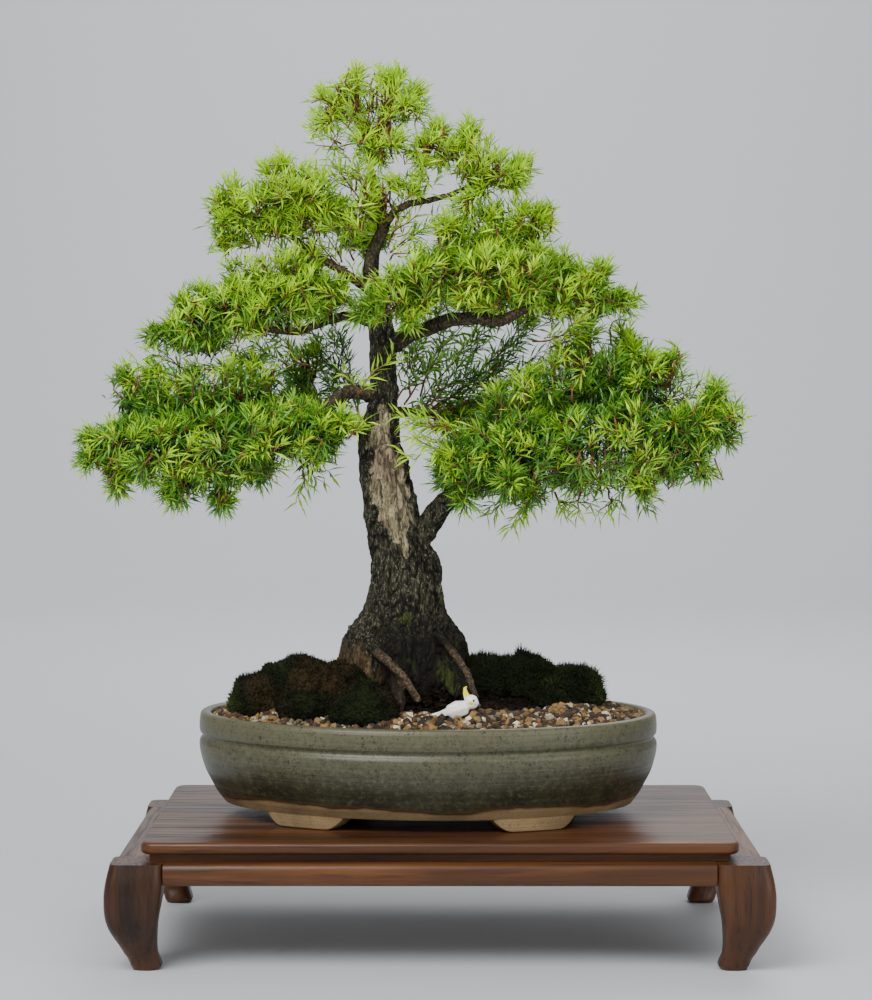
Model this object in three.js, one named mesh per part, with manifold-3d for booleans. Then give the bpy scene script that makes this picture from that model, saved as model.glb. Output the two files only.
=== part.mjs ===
// A black tea tree grown as a bonsai, in an oval stoneware pot on a low hardwood stand.
// Millimetres, +Z up. The front faces -Y and +X is to the right of a viewer at the front.
import * as THREE from "three";
import { mergeVertices } from "three/addons/utils/BufferGeometryUtils.js";
import Module from "manifold-3d";

const wasm = await Module();
wasm.setup();

// Driving dimensions
const GAP = 0.35; // between pieces that rest on or in each other
const TIMBER_CLEAR = 0.8; // hole round the timber, larger because its facets cut the corners

const STAND = {
  width: 618, // over the rails
  depth: 392,
  panel: { width: 566, depth: 368, bottom: 111, top: 122.7, corner: 9, nosing: 4.5 },
  waist: { width: 548, depth: 350, band: 24, bottom: 104.3, top: 110.7 },
  rail: { bottom: 83, top: 104, thick: 38 },
  legChamfer: 4,
  // height, how far the face stands past the rails, width of the section
  leg: [[104, 1.5, 50], [83, 6, 54], [64, 7, 52], [44, 3.5, 45], [17, -10, 31], [4, -16, 29], [0, -17, 26]],
};

const OVAL = { x: -12.5, y: 0, long: 230, short: 160, yaw: -4, sides: 28 };
const POT = {
  // outside from the base up, then inside from the rim down: offset from the oval, height
  outside: [[-25, 136], [-11.5, 157], [-3, 177], [0, 194], [-3, 202], [-0.5, 205], [-1.5, 223], [-4, 226]],
  inside: [[-12, 226], [-14.5, 203], [-16, 178], [-36, 147]],
  footBottom: 123,
  footTop: 137,
  footAngles: [55.9, 124.1, -55.9, -124.1],
  footSpan: 13.2, // degrees from the middle of a foot to its end
  footBack: 26, // width of a foot from front to back
  drainX: 92,
  drainRadius: 12,
};
const SCREEN = { side: 40, thick: 1.5, hole: 12, holes: 2, floor: 147 };

const SOIL = { wall: -14.6, shelf: 217, dome: 38, floor: 147, beddingSpread: 4 };
const GRAVEL = {
  wall: -15.4, sides: 32, rows: 2, inner: 0.72, lip: 0.02, low: 3.4, high: 8.2, edge: 3.2, seed: 41,
};
const CUSHION = { around: 6, down: 4, rough: 0.07, clear: 3.5, seed: 50 }; // moss
const ROUND = { around: 7, down: 4 };

// How far a simplified surface may leave the drawn one
const TIDY = { sharp: 0.02, china: 0.03, grains: 0.1, moss: 0.12, leaves: 0.15, timber: 0.3, bank: 2.5 };

const TRUNK = {
  axis: -57, // x of its upper part
  sides: 10,
  depth: 0.88, // depth to width
  // height, centre x, radius
  stations: [
    [204, -36, 50], [232, -36, 62], [262, -37, 67], [280, -38.5, 65], [297, -38.5, 61.5],
    [312, -38.5, 51], [327, -37.5, 42], [347, -35, 38], [377, -34.5, 34.5], [400, -44, 29],
    [432, -51, 28], [464, -56, 25.5], [497, -60.5, 21.5], [512, -62, 20.5], [522, -58.5, 16],
    [540, -56.5, 13.5], [567, -57, 13], [595, -57.5, 14.5], [612, -59.5, 12], [637, -62, 9],
    [662, -69, 8.5], [682, -68, 7.5], [707, -57, 6.5], [725, -58, 5.5],
  ],
};

// Surface roots run out from the foot of the trunk and dive into the soil
const ROOTS = {
  count: 7,
  first: 12, // degrees
  // reach from the trunk's axis, height, radius
  profile: [[34, 286, 17], [62, 268, 13], [86, 249, 9.5], [110, 226, 6]],
  seed: 7,
};

// Slim roots that cross the front of the trunk's foot: x, y, z, radius
const CROSSING_ROOTS = [
  [[-88, -28, 312, 5], [-70, -50, 296, 5.2], [-54, -63, 284, 5], [-36, -74, 268, 4.5], [-20, -86, 244, 3.5]],
  [[-2, -36, 306, 4], [14, -55, 288, 4.2], [26, -66, 272, 3.8], [36, -76, 246, 3]],
];

// Main branches, each as far as it runs into its foliage: x, y, z, radius
const BRANCHES = {
  leftLow: [
    [-57, 0, 541, 8.5], [-88, -4, 546, 8], [-102, -8, 539, 7.5], [-118, -14, 525, 7], [-140, -22, 509, 6],
  ],
  rightLow: [
    [-34, 0, 378, 13.5], [-12, -6, 412, 12.5], [2, -12, 432, 11.5], [18, -17, 447, 10.5], [45, -23, 459, 9],
    [92, -29, 472, 7],
  ],
  rightHigh: [
    [-57, 0, 584, 8.5], [-30, -8, 602, 8], [-10, -16, 609, 8], [10, -24, 617, 7.8], [38, -33, 618, 7],
    [60, -38, 615, 6.5], [85, -40, 627, 4.5], [110, -32, 652, 2.5],
  ],
  leftMid: [
    [-59, 0, 610, 6.5], [-80, -4, 619, 6], [-95, -8, 621, 5.5], [-115, -13, 615, 5], [-140, -18, 605, 4.5],
    [-168, -21, 607, 4], [-204, -21, 622, 2.5],
  ],
  leftHigh: [
    [-64, 0, 642, 6], [-82, -3, 655, 5.5], [-97, -6, 665, 5], [-112, -9, 674, 4.5], [-132, -12, 687, 4],
    [-151, -14, 703, 3],
  ],
  rightCrown: [
    [-57, 0, 706, 4.8], [-45, -8, 725, 4.5], [-30, -12, 732, 4], [-10, -17, 735, 3.5], [10, -22, 740, 3],
    [30, -26, 749, 2.5], [56, -23, 758, 2],
  ],
  leader: [[-57, 0, 715, 6], [-63, 0, 740, 4.8], [-69, 0, 767, 4], [-66, 0, 791, 3.4]],
  rearRight: [[-58, 0, 524, 6.5], [-38, 26, 525, 6], [-12, 60, 522, 4.5], [14, 90, 514, 3.2]],
  rearMid: [[-57, 0, 570, 6], [-52, 34, 588, 5.5], [-36, 70, 612, 4.5], [-14, 101, 638, 3]],
  rearLeft: [[-61, 0, 496, 6.5], [-80, 36, 504, 6], [-104, 68, 512, 5], [-141, 95, 522, 3]],
  rearHigh: [[-62, 0, 640, 5], [-66, 34, 662, 4.5], [-72, 60, 682, 3.5], [-76, 82, 700, 2.4]],
};

// Bunches of foliage, in rows of lobes that run along the branch. A lobe is its middle x, y, z and its
// radii, out to the tips of its shoots, and core is the share of them that the solid core takes.
// Tips are single shoots that reach past the lobes.
const BUNCHES = [
  {
    name: "foliage_right_low", branch: "rightLow", core: 0.5, seed: 105,
    rows: [
      [
        [21, -35, 472, 45, 70, 49], [79, -35, 482, 56, 92, 64], [143, -30, 486, 58, 100, 68],
        [208, -25, 490, 54, 92, 66], [257, -20, 503, 42, 70, 54],
      ],
      [[64, 0, 532, 44, 60, 34], [130, 12, 566, 48, 76, 38], [198, 8, 562, 50, 80, 35]],
    ],
    tips: [
      [157, 14, 619], [178, 4, 617], [190, -14, 601], [248, -4, 585], [280, -14, 562], [302, -24, 532],
      [295, -6, 497], [260, -30, 464], [196, -62, 440], [92, -66, 436], [24, -58, 422],
    ],
  },
  {
    name: "foliage_left_low", branch: "leftLow", core: 0.54, seed: 202,
    rows: [
      [
        [-318, -25, 490, 38, 60, 34], [-273, -30, 487, 48, 78, 50], [-224, -30, 484, 52, 92, 56],
        [-174, -30, 500, 52, 92, 52], [-125, -25, 500, 38, 72, 46],
      ],
      [[-292, 6, 542, 38, 56, 34], [-244, 0, 546, 46, 66, 33], [-192, -5, 556, 46, 66, 35]],
    ],
    tips: [
      [-360, -22, 509], [-365, -34, 472], [-322, -30, 434], [-255, -56, 427], [-212, -50, 420],
      [-178, -30, 440], [-95, -34, 517], [-313, 6, 560],
    ],
  },
  {
    name: "foliage_right_high", branch: "rightHigh", core: 0.5, seed: 303,
    rows: [
      [
        [-52, -62, 636, 38, 40, 38], [-5, -45, 657, 46, 68, 38], [50, -35, 657, 48, 78, 42],
        [104, -30, 655, 50, 74, 42], [146, -30, 641, 36, 56, 32],
      ],
      [[22, -8, 706, 42, 46, 26], [72, -8, 712, 42, 46, 26]],
    ],
    tips: [
      [100, -6, 720], [118, -12, 712], [163, -26, 668], [200, -30, 627], [-92, -60, 612], [-20, -70, 606],
    ],
  },
  {
    name: "foliage_left_mid", branch: "leftMid", core: 0.52, seed: 405,
    rows: [
      [
        [-254, -15, 607, 36, 60, 28], [-215, -20, 625, 48, 78, 34], [-166, -25, 626, 42, 68, 34],
        [-118, -22, 640, 38, 56, 32],
      ],
      [[-190, 0, 655, 42, 64, 26], [-136, 0, 667, 40, 58, 26]],
      [[-236, 18, 598, 40, 56, 20]],
    ],
    tips: [[-280, -16, 602], [-285, -6, 617], [-255, 0, 637], [-240, 6, 652]],
  },
  {
    name: "foliage_left_high", branch: "leftHigh", core: 0.5, seed: 536,
    rows: [
      [[-190, -15, 725, 34, 54, 28], [-150, -15, 741, 42, 68, 36], [-118, -10, 745, 28, 54, 28]],
      [[-190, -5, 702, 32, 48, 20], [-146, -4, 713, 42, 58, 20], [-106, -8, 719, 32, 48, 24]],
    ],
    tips: [
      [-160, -14, 786], [-181, -20, 772], [-213, -18, 757], [-228, -16, 732], [-232, -4, 689],
      [-227, -26, 709],
    ],
  },
  {
    name: "foliage_right_crown", branch: "rightCrown", core: 0.5, seed: 606,
    rows: [[[-10, -15, 782, 40, 58, 27], [34, -20, 779, 40, 60, 27], [60, -20, 757, 24, 44, 24]]],
    tips: [[5, -14, 815], [28, -24, 808], [65, -22, 790], [87, -20, 772], [80, -28, 745], [10, -30, 722]],
  },
  {
    name: "foliage_crown", branch: "leader", core: 0.54, seed: 707,
    rows: [[[-86, -5, 820, 32, 40, 32], [-48, -5, 828, 30, 40, 32]], [[-66, 0, 789, 36, 48, 28]]],
    tips: [
      [-83, -6, 875], [-104, -10, 863], [-135, -8, 844], [-61, -2, 871], [-44, -8, 869], [-13, -10, 847],
      [-138, -4, 805], [-6, -14, 819],
    ],
  },
  {
    name: "foliage_centre", branch: "rightCrown", core: 0.42, seed: 816,
    rows: [[[-82, -24, 716, 36, 40, 30], [-70, -20, 752, 40, 42, 28]], [[-22, -18, 748, 34, 42, 26]]],
    tips: [[-100, -34, 752], [-112, -30, 712]],
  },
  {
    name: "foliage_rear_mid", branch: "rearMid", core: 0.42, seed: 910,
    rows: [[[-14, 104, 640, 56, 50, 32], [42, 108, 634, 48, 46, 32], [92, 102, 628, 42, 44, 28]]],
    tips: [],
  },
  {
    name: "foliage_rear_right", branch: "rearRight", core: 0.42, seed: 1011,
    rows: [[[12, 92, 512, 46, 48, 36], [88, 108, 520, 56, 50, 38]]],
    tips: [],
  },
  {
    name: "foliage_rear_left", branch: "rearLeft", core: 0.46, seed: 1111,
    rows: [[[-146, 98, 524, 54, 48, 34]], [[-138, 84, 576, 44, 46, 26]]],
    tips: [],
  },
  {
    name: "foliage_rear_high", branch: "rearHigh", core: 0.46, seed: 1212,
    rows: [[[-76, 82, 702, 42, 46, 32]]],
    tips: [],
  },
];

const SHOOT = {
  area: 30000, // of a lobe's surface for each shoot
  fewest: 1, // to a lobe
  sink: 6, // of the root into the core
  internode: 12,
  stalk: 1.75, // radius at the root
  stalkTip: 1.0,
  leaf: 19, // mean length
  lean: 40, // degrees from the stalk
  clear: 0.45, // from other pieces
  tries: 12,
  shortened: 150, // what a shoot's whole length is worth in such triangles
  crossing: 30, // most triangles that it may share with others, unless it reaches out to a tip
};
const CORE = {
  sides: 8,
  waist: 0.86,
  end: 0.5,
  ending: 0.85, // share of an end lobe that its run covers
  varied: [0.65, 0.6], // least share of a leaf, and how much it varies
  inside: 0.97,
  shorten: 0.85,
  rough: 0.12,
  leaf: 23, // mean length of the leaves that its facets are drawn out into
  shortest: 6,
  slender: 2.6, // most length for the radius that fits in the facet
  sweep: 0.55, // how far the leaves lean away from the trunk, as a share of their length
  rise: 60, // height that this lean gains, in mm, against the distance from the trunk
  stray: 0.4, // how far a leaf leans aside
};
const TWIG = { radius: 2.5, tip: 1.5, bow: 5, longest: 42 };

// Moss cushions: x, y, z and radii
const MOSS = {
  moss_left: [
    [-176, -14, 234, 38, 50, 33], [-122, -62, 240, 46, 46, 39], [-72, -96, 233, 38, 36, 34],
    [-138, 12, 245, 56, 54, 34], [-94, -30, 248, 40, 52, 32],
  ],
  moss_right: [
    [45, 8, 250, 38, 45, 33], [88, 2, 250, 38, 46, 34], [132, 6, 239, 40, 46, 34],
    [104, -24, 236, 46, 32, 27], [82, -6, 272, 9, 9, 17],
  ],
  moss_rear: [[-104, 66, 238, 58, 42, 30], [-30, 80, 244, 62, 38, 29], [66, 74, 238, 66, 38, 28]],
};

const BIRD = { x: 15, y: -110, z: 230.2 };

const COLOURS = {
  timber: 0x5a4632,
  hardwood: 0x6d3d24,
  stoneware: 0x6b6f5a,
  soil: 0x2a221b,
  gravel: 0xa5835a,
  moss: 0x26301a,
  leaf: 0x7fa32a,
  china: 0xf1efe8,
  mesh: 0x2e3a33,
};

// Small helpers
const point = (x, y, z) => new THREE.Vector3(x, y, z);
const radians = THREE.MathUtils.degToRad;
const mix = THREE.MathUtils.lerp;
const ease = THREE.MathUtils.smoothstep;

function randomFrom(seed) {
  let state = seed >>> 0;
  return () => {
    state = (state + 0x6d2b79f5) >>> 0;
    let mixed = Math.imul(state ^ (state >>> 15), 1 | state);
    mixed ^= mixed + Math.imul(mixed ^ (mixed >>> 7), 61 | mixed);
    return ((mixed ^ (mixed >>> 14)) >>> 0) / 4294967296;
  };
}

// A solid from corner positions and triangles, turned so that its faces point out
function solidFromLists(corners, triangles) {
  let volume = 0;
  for (const [a, b, c] of triangles) {
    volume += corners[a].dot(corners[b].clone().cross(corners[c]));
  }
  const faces = volume < 0 ? triangles.map(([a, b, c]) => [a, c, b]) : triangles;
  return new wasm.Manifold(new wasm.Mesh({
    numProp: 3,
    vertProperties: Float32Array.from(corners.flatMap((corner) => corner.toArray())),
    triVerts: Uint32Array.from(faces.flat()),
  }));
}

// A solid from a three.js geometry, with its shared corners merged
function solidFrom(geometry) {
  const bare = geometry.clone();
  bare.deleteAttribute("normal");
  bare.deleteAttribute("uv");
  const merged = mergeVertices(bare, 1e-4);
  const position = merged.attributes.position;
  const corners = [];
  for (let index = 0; index < position.count; index += 1) {
    corners.push(new THREE.Vector3().fromBufferAttribute(position, index));
  }
  const triangles = [];
  for (let index = 0; index < merged.index.count; index += 3) {
    const [a, b, c] = merged.index.array.slice(index, index + 3);
    if (a !== b && b !== c && c !== a) triangles.push([a, b, c]);
  }
  return solidFromLists(corners, triangles);
}

function geometryFrom(solid) {
  const mesh = solid.getMesh();
  const geometry = new THREE.BufferGeometry();
  geometry.setAttribute("position", new THREE.BufferAttribute(new Float32Array(mesh.vertProperties), 3));
  geometry.setIndex(new THREE.BufferAttribute(new Uint32Array(mesh.triVerts), 1));
  geometry.computeVertexNormals();
  return geometry;
}

// A skin over rings of points that match one to one: a fan closes each end, or the rings close on themselves
function loft(rings, closed = false) {
  const sides = rings[0].length;
  const corners = rings.flat();
  const triangles = [];
  const spans = closed ? rings.length : rings.length - 1;
  for (let ring = 0; ring < spans; ring += 1) {
    const low = ring * sides;
    const high = ((ring + 1) % rings.length) * sides;
    for (let side = 0; side < sides; side += 1) {
      const next = (side + 1) % sides;
      triangles.push([low + side, low + next, high + next], [low + side, high + next, high + side]);
    }
  }
  if (closed) return solidFromLists(corners, triangles);
  for (const ring of [0, rings.length - 1]) {
    const hub = corners.length;
    const middle = new THREE.Vector3();
    rings[ring].forEach((corner) => middle.addScaledVector(corner, 1 / sides));
    corners.push(middle);
    for (let side = 0; side < sides; side += 1) {
      const here = ring * sides + side;
      const next = ring * sides + (side + 1) % sides;
      triangles.push(ring === 0 ? [hub, next, here] : [hub, here, next]);
    }
  }
  return solidFromLists(corners, triangles);
}

// A tapering round stem through points x, y, z, radius
function stem(points, sides, grow = 0) {
  const centres = points.map(([x, y, z]) => point(x, y, z));
  const last = centres.length - 1;
  const along = centres.map((centre, index) => (
    centres[Math.min(index + 1, last)].clone().sub(centres[Math.max(index - 1, 0)]).normalize()
  ));
  centres[0].addScaledVector(along[0], -grow);
  centres[last].addScaledVector(along[last], grow);
  let across = Math.abs(along[0].z) < 0.8 ? point(0, 0, 1) : point(0, 1, 0);
  const rings = centres.map((centre, index) => {
    across = across.clone().addScaledVector(along[index], -across.dot(along[index])).normalize();
    const other = along[index].clone().cross(across);
    const radius = points[index][3] + grow;
    return Array.from({ length: sides }, (_, side) => {
      const angle = ((side + 0.5) / sides) * 2 * Math.PI;
      return centre.clone()
        .addScaledVector(across, radius * Math.cos(angle))
        .addScaledVector(other, radius * Math.sin(angle));
    });
  });
  return loft(rings);
}

// A ball of a few facets, roughened a little
function lump([x, y, z, rx, ry, rz], size, random, around = 8, down = 5, rough = 0.1) {
  const merged = new THREE.SphereGeometry(1, around, down);
  merged.deleteAttribute("normal");
  merged.deleteAttribute("uv");
  const ball = mergeVertices(merged, 1e-4);
  ball.rotateX(Math.PI / 2);
  ball.rotateZ(random() * 6.28);
  const position = ball.attributes.position;
  for (let index = 0; index < position.count; index += 1) {
    const grow = size * (1 + rough * (2 * random() - 1));
    position.setXYZ(
      index,
      x + rx * grow * position.getX(index),
      y + ry * grow * position.getY(index),
      z + rz * grow * position.getZ(index),
    );
  }
  return solidFrom(ball);
}

const join = (solids) => wasm.Manifold.union(solids);

function largest(solid) {
  const bodies = solid.decompose();
  return bodies.reduce((best, body) => (body.volume() > best.volume() ? body : best));
}

// Meshes
const model = new THREE.Group();
const solids = {};

function addPiece(name, solid, colour, roughness) {
  const material = new THREE.MeshStandardMaterial({ color: COLOURS[colour], roughness, metalness: 0 });
  const mesh = new THREE.Mesh(geometryFrom(solid), material);
  mesh.name = name;
  model.add(mesh);
  solids[name] = solid;
}

// Stand
function standPanel() {
  const { width, depth, bottom, top, corner, nosing } = STAND.panel;
  const halfX = width / 2 - nosing;
  const halfY = depth / 2 - nosing;
  const outline = new THREE.Shape();
  outline.moveTo(-halfX + corner, -halfY);
  outline.lineTo(halfX - corner, -halfY);
  outline.absarc(halfX - corner, -halfY + corner, corner, -Math.PI / 2, 0);
  outline.absarc(halfX - corner, halfY - corner, corner, 0, Math.PI / 2);
  outline.absarc(-halfX + corner, halfY - corner, corner, Math.PI / 2, Math.PI);
  outline.absarc(-halfX + corner, -halfY + corner, corner, Math.PI, Math.PI * 1.5);
  const board = new THREE.ExtrudeGeometry(outline, {
    depth: top - bottom - 2 * nosing,
    bevelThickness: nosing,
    bevelSize: nosing,
    bevelSegments: 2,
    curveSegments: 2,
  });
  board.translate(0, 0, bottom + nosing);
  return solidFrom(board);
}

function rectangle(halfX, halfY, z) {
  const turns = [[-1, -1], [1, -1], [1, 1], [-1, 1]];
  return turns.map(([alongX, alongY]) => point(alongX * halfX, alongY * halfY, z));
}

// A strip of the waist moulding, mitred at its ends: turn 0 is the front
function standWaist(turn) {
  const { width, depth, band, bottom, top } = STAND.waist;
  const sideways = turn % 2 === 1;
  const half = (sideways ? depth : width) / 2 - GAP;
  const face = (sideways ? width : depth) / 2;
  const outline = [[-half, -face], [half, -face], [half - band, band - face], [band - half, band - face]];
  return loft([bottom, top].map((z) => outline.map(([x, y]) => (
    point(x, y, z).applyAxisAngle(point(0, 0, 1), turn * Math.PI / 2)
  ))));
}

// A rail between two legs, with a rounded outer face: turn 0 is the front
function standRail(turn) {
  const { bottom, top, thick } = STAND.rail;
  const sideways = turn % 2 === 1;
  const [, legReach, legWidth] = STAND.leg[0];
  const half = (sideways ? STAND.depth : STAND.width) / 2 + legReach - legWidth - GAP;
  const face = (sideways ? STAND.width : STAND.depth) / 2;
  const round = (top - bottom) / 2;
  const section = [
    [thick, bottom], [thick, top], [5, top], [1.2, top - 0.45 * round], [0, top - round],
    [1.2, bottom + 0.45 * round], [5, bottom],
  ];
  const ends = [-half, half].map((along) => section.map(([inward, z]) => (
    point(along, inward - face, z).applyAxisAngle(point(0, 0, 1), turn * Math.PI / 2)
  )));
  return loft(ends);
}

function standLeg(signX, signY) {
  const chamfer = STAND.legChamfer;
  const round = 2.6 * chamfer;
  const rings = STAND.leg.map(([z, reach, width]) => {
    const far = width - chamfer;
    const section = [
      [round, 0], [far, 0], [width, chamfer], [width, width], [chamfer, width], [0, far], [0, round],
      [0.3 * round, 0.3 * round],
    ];
    return section.map(([fromX, fromY]) => point(
      signX * (STAND.width / 2 + reach - fromX),
      signY * (STAND.depth / 2 + reach - fromY),
      z,
    ));
  });
  return loft(rings);
}

addPiece("stand_panel", standPanel(), "hardwood", 0.35);
["front", "right", "back", "left"].forEach((side, turn) => {
  addPiece(`stand_waist_${side}`, standWaist(turn), "hardwood", 0.45);
  addPiece(`stand_rail_${side}`, standRail(turn), "hardwood", 0.35);
});
for (const [depthName, signY] of [["front", -1], ["back", 1]]) {
  for (const [sideName, signX] of [["left", -1], ["right", 1]]) {
    addPiece(`stand_leg_${depthName}_${sideName}`, standLeg(signX, signY), "hardwood", 0.35);
  }
}

// Pot
// A point beside the pot's oval: angle in radians, reach 1 on the line and less inside it
function ovalPoint(angle, offset, z, reach = 1) {
  const flat = point(
    (OVAL.long + offset) * Math.cos(angle) * reach,
    (OVAL.short + offset) * Math.sin(angle) * reach,
    0,
  );
  flat.applyAxisAngle(point(0, 0, 1), radians(OVAL.yaw));
  return point(OVAL.x + flat.x, OVAL.y + flat.y, z);
}

function ovalRing(offset, z, reach = 1, sides = OVAL.sides) {
  return Array.from({ length: sides }, (_, side) => {
    const angle = (side / sides) * 2 * Math.PI;
    return ovalPoint(angle, offset, z, reach);
  });
}

// A bracket foot that follows the oval, with hollow flaring ends
function potFoot(middle) {
  const ends = [[-1, 11.5], [-0.82, 5], [-0.64, 0], [0.64, 0], [0.82, 5], [1, 11.5]];
  const outer = POT.outside[0][0];
  const rings = ends.map(([along, lift]) => {
    const angle = radians(middle + along * POT.footSpan);
    const low = POT.footBottom + lift;
    return [
      ovalPoint(angle, outer - 0.6, POT.footTop), ovalPoint(angle, outer - 1.6, low),
      ovalPoint(angle, outer - POT.footBack, low), ovalPoint(angle, outer - POT.footBack, POT.footTop),
    ];
  });
  return loft(rings);
}

function upright(radius, bottom, top, sides) {
  const bar = new THREE.CylinderGeometry(radius, radius, top - bottom, sides);
  bar.rotateX(Math.PI / 2);
  bar.translate(0, 0, (bottom + top) / 2);
  return solidFrom(bar);
}

const drains = [-1, 1].map((side) => {
  const place = point(side * POT.drainX, 0, 0).applyAxisAngle(point(0, 0, 1), radians(OVAL.yaw));
  return place.add(point(OVAL.x, OVAL.y, 0));
});

function pot() {
  const profile = [...POT.outside, ...POT.inside];
  const bowl = loft(profile.map(([offset, z]) => ovalRing(offset, z)));
  const feet = POT.footAngles.map(potFoot);
  const holes = drains.map(({ x, y }) => (
    upright(POT.drainRadius, POT.footBottom, SCREEN.floor + 5, 12).translate([x, y, 0])
  ));
  return join([bowl, ...feet]).subtract(join(holes)).simplify(TIDY.sharp);
}

// A square block with its middle at x, y
function squareBlock(x, y, half, bottom, top) {
  return loft([rectangle(half, half, bottom), rectangle(half, half, top)]).translate([x, y, 0]);
}

// A square of plastic mesh over a drain hole
function screen({ x, y }) {
  const bottom = SCREEN.floor + GAP;
  const top = bottom + SCREEN.thick;
  const pitch = SCREEN.side / SCREEN.holes;
  const windows = [];
  for (let row = 0; row < SCREEN.holes; row += 1) {
    for (let column = 0; column < SCREEN.holes; column += 1) {
      const place = [column, row].map((step) => (step + 0.5) * pitch - SCREEN.side / 2);
      windows.push(squareBlock(x + place[0], y + place[1], SCREEN.hole / 2, bottom - 1, top + 1));
    }
  }
  return squareBlock(x, y, SCREEN.side / 2, bottom, top).subtract(join(windows));
}

addPiece("pot", pot(), "stoneware", 0.3);
addPiece("drain_screen_left", screen(drains[0]), "mesh", 0.6);
addPiece("drain_screen_right", screen(drains[1]), "mesh", 0.6);

// Timber: trunk, roots and branches in one piece
function trunk(grow) {
  const rings = TRUNK.stations.map(([height, x, radius], station) => {
    const z = station === 0 ? height - grow : height;
    const fluting = 0.045 + 0.085 * (1 - ease(z, 262, 335));
    return Array.from({ length: TRUNK.sides }, (_, side) => {
      const angle = ((side + 0.5) / TRUNK.sides) * 2 * Math.PI;
      const wave = 0.6 * Math.sin(3 * angle + 1.1) + 0.4 * Math.sin(5 * angle + 2.3 + z / 60);
      const reach = radius * (1 + fluting * wave) + grow;
      return point(x + reach * Math.cos(angle), reach * TRUNK.depth * Math.sin(angle), z);
    });
  });
  return loft(rings);
}

function surfaceRoots(grow) {
  const random = randomFrom(ROOTS.seed);
  const footX = TRUNK.stations[2][1];
  return Array.from({ length: ROOTS.count }, (_, index) => {
    const angle = radians(ROOTS.first + (index * 360) / ROOTS.count + 16 * (random() - 0.5));
    const size = 0.8 + 0.4 * random();
    const bend = 0.25 * (random() - 0.5);
    const points = ROOTS.profile.map(([reach, z, radius], station) => {
      const turn = angle + bend * station * 0.4;
      return [footX + reach * Math.cos(turn), reach * TRUNK.depth * Math.sin(turn), z, radius * size];
    });
    return stem(points, 5, grow);
  });
}

function nearestOn(route, target) {
  let best = null;
  let shortest = Infinity;
  for (let index = 0; index + 1 < route.length; index += 1) {
    const from = point(...route[index]);
    const to = point(...route[index + 1]);
    const place = new THREE.Line3(from, to).closestPointToPoint(target, true, new THREE.Vector3());
    const distance = place.distanceTo(target);
    if (distance < shortest) {
      shortest = distance;
      best = place;
    }
  }
  return best;
}

const within = (place, [x, y, z, rx, ry, rz], size) => (
  ((place.x - x) / rx) ** 2 + ((place.y - y) / ry) ** 2 + ((place.z - z) / rz) ** 2 < size * size
);

// A twig from the branch to the middle of each lobe that lies near it and that it doesn't enter itself
function twigs(grow) {
  const found = [];
  for (const { branch, rows, core } of BUNCHES) {
    for (const lobe of rows.flat()) {
      const target = point(...lobe);
      const place = nearestOn(BRANCHES[branch], target);
      if (within(place, lobe, core * 0.9) || place.distanceTo(target) > TWIG.longest) continue;
      const middle = place.clone().lerp(target, 0.5).add(point(0, 0, TWIG.bow));
      found.push(stem([
        [...place.toArray(), TWIG.radius],
        [...middle.toArray(), mix(TWIG.radius, TWIG.tip, 0.5)],
        [...target.toArray(), TWIG.tip],
      ], 3, grow));
    }
  }
  return found;
}

function timber(grow) {
  return join([
    trunk(grow),
    ...surfaceRoots(grow),
    ...CROSSING_ROOTS.map((points) => stem(points, 6, grow)),
    ...Object.values(BRANCHES).map((points) => stem(points, points[0][3] > 7 ? 6 : 5, grow)),
    ...twigs(grow),
  ]);
}

const wood = largest(timber(0).simplify(TIDY.timber));
const woodHole = timber(TIMBER_CLEAR);
addPiece("tree_wood", wood, "timber", 0.85);

// Soil
const soilTop = (reach) => SOIL.shelf + SOIL.dome * (1 - reach * reach) ** 1.5;

// The soil's own form, or that form lifted and spread for cutting what lies on it
function soilForm(lift, spread) {
  const inside = POT.inside.filter(([, z]) => z < SOIL.shelf).reverse();
  const wall = inside.map(([offset, z]) => {
    const height = z === SOIL.floor ? z + GAP : z;
    return ovalRing(offset - 2 * GAP + spread, height);
  });
  const top = [1, 0.8, 0.5].map((reach) => ovalRing(SOIL.wall + spread, soilTop(reach) + lift, reach));
  return loft([...wall, ...top]);
}

function pocketFor({ x, y }) {
  return squareBlock(x, y, SCREEN.side / 2 + GAP, SCREEN.floor - 5, SCREEN.floor + SCREEN.thick + 2 * GAP);
}

const soil = soilForm(0, 0).subtract(woodHole).subtract(join(drains.map(pocketFor))).simplify(TIDY.sharp);
addPiece("soil", largest(soil), "soil", 0.95);

// Gravel: a band of coarse grains on the soil, from under the moss out to the pot's wall
function gravelForm() {
  const random = randomFrom(GRAVEL.seed);
  const rings = Array.from({ length: GRAVEL.sides }, (_, side) => {
    const section = [];
    for (let row = 0; row <= GRAVEL.rows; row += 1) {
      const reach = mix(1, GRAVEL.inner, row / GRAVEL.rows);
      const edge = row === 0 ? 0 : 0.34 * (random() - 0.5);
      const turn = (side + (row % 2) / 2 + edge) / GRAVEL.sides;
      const height = row === 0 ? GRAVEL.edge : mix(GRAVEL.low, GRAVEL.high, random());
      section.push(ovalPoint(turn * 2 * Math.PI, GRAVEL.wall, soilTop(reach) + height, reach));
    }
    const turn = (side / GRAVEL.sides) * 2 * Math.PI;
    const low = SOIL.shelf - 12;
    return [
      ovalPoint(turn, GRAVEL.wall, low),
      ...section,
      ovalPoint(turn, GRAVEL.wall, low, GRAVEL.inner - GRAVEL.lip),
    ];
  });
  return loft(rings, true);
}

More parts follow.
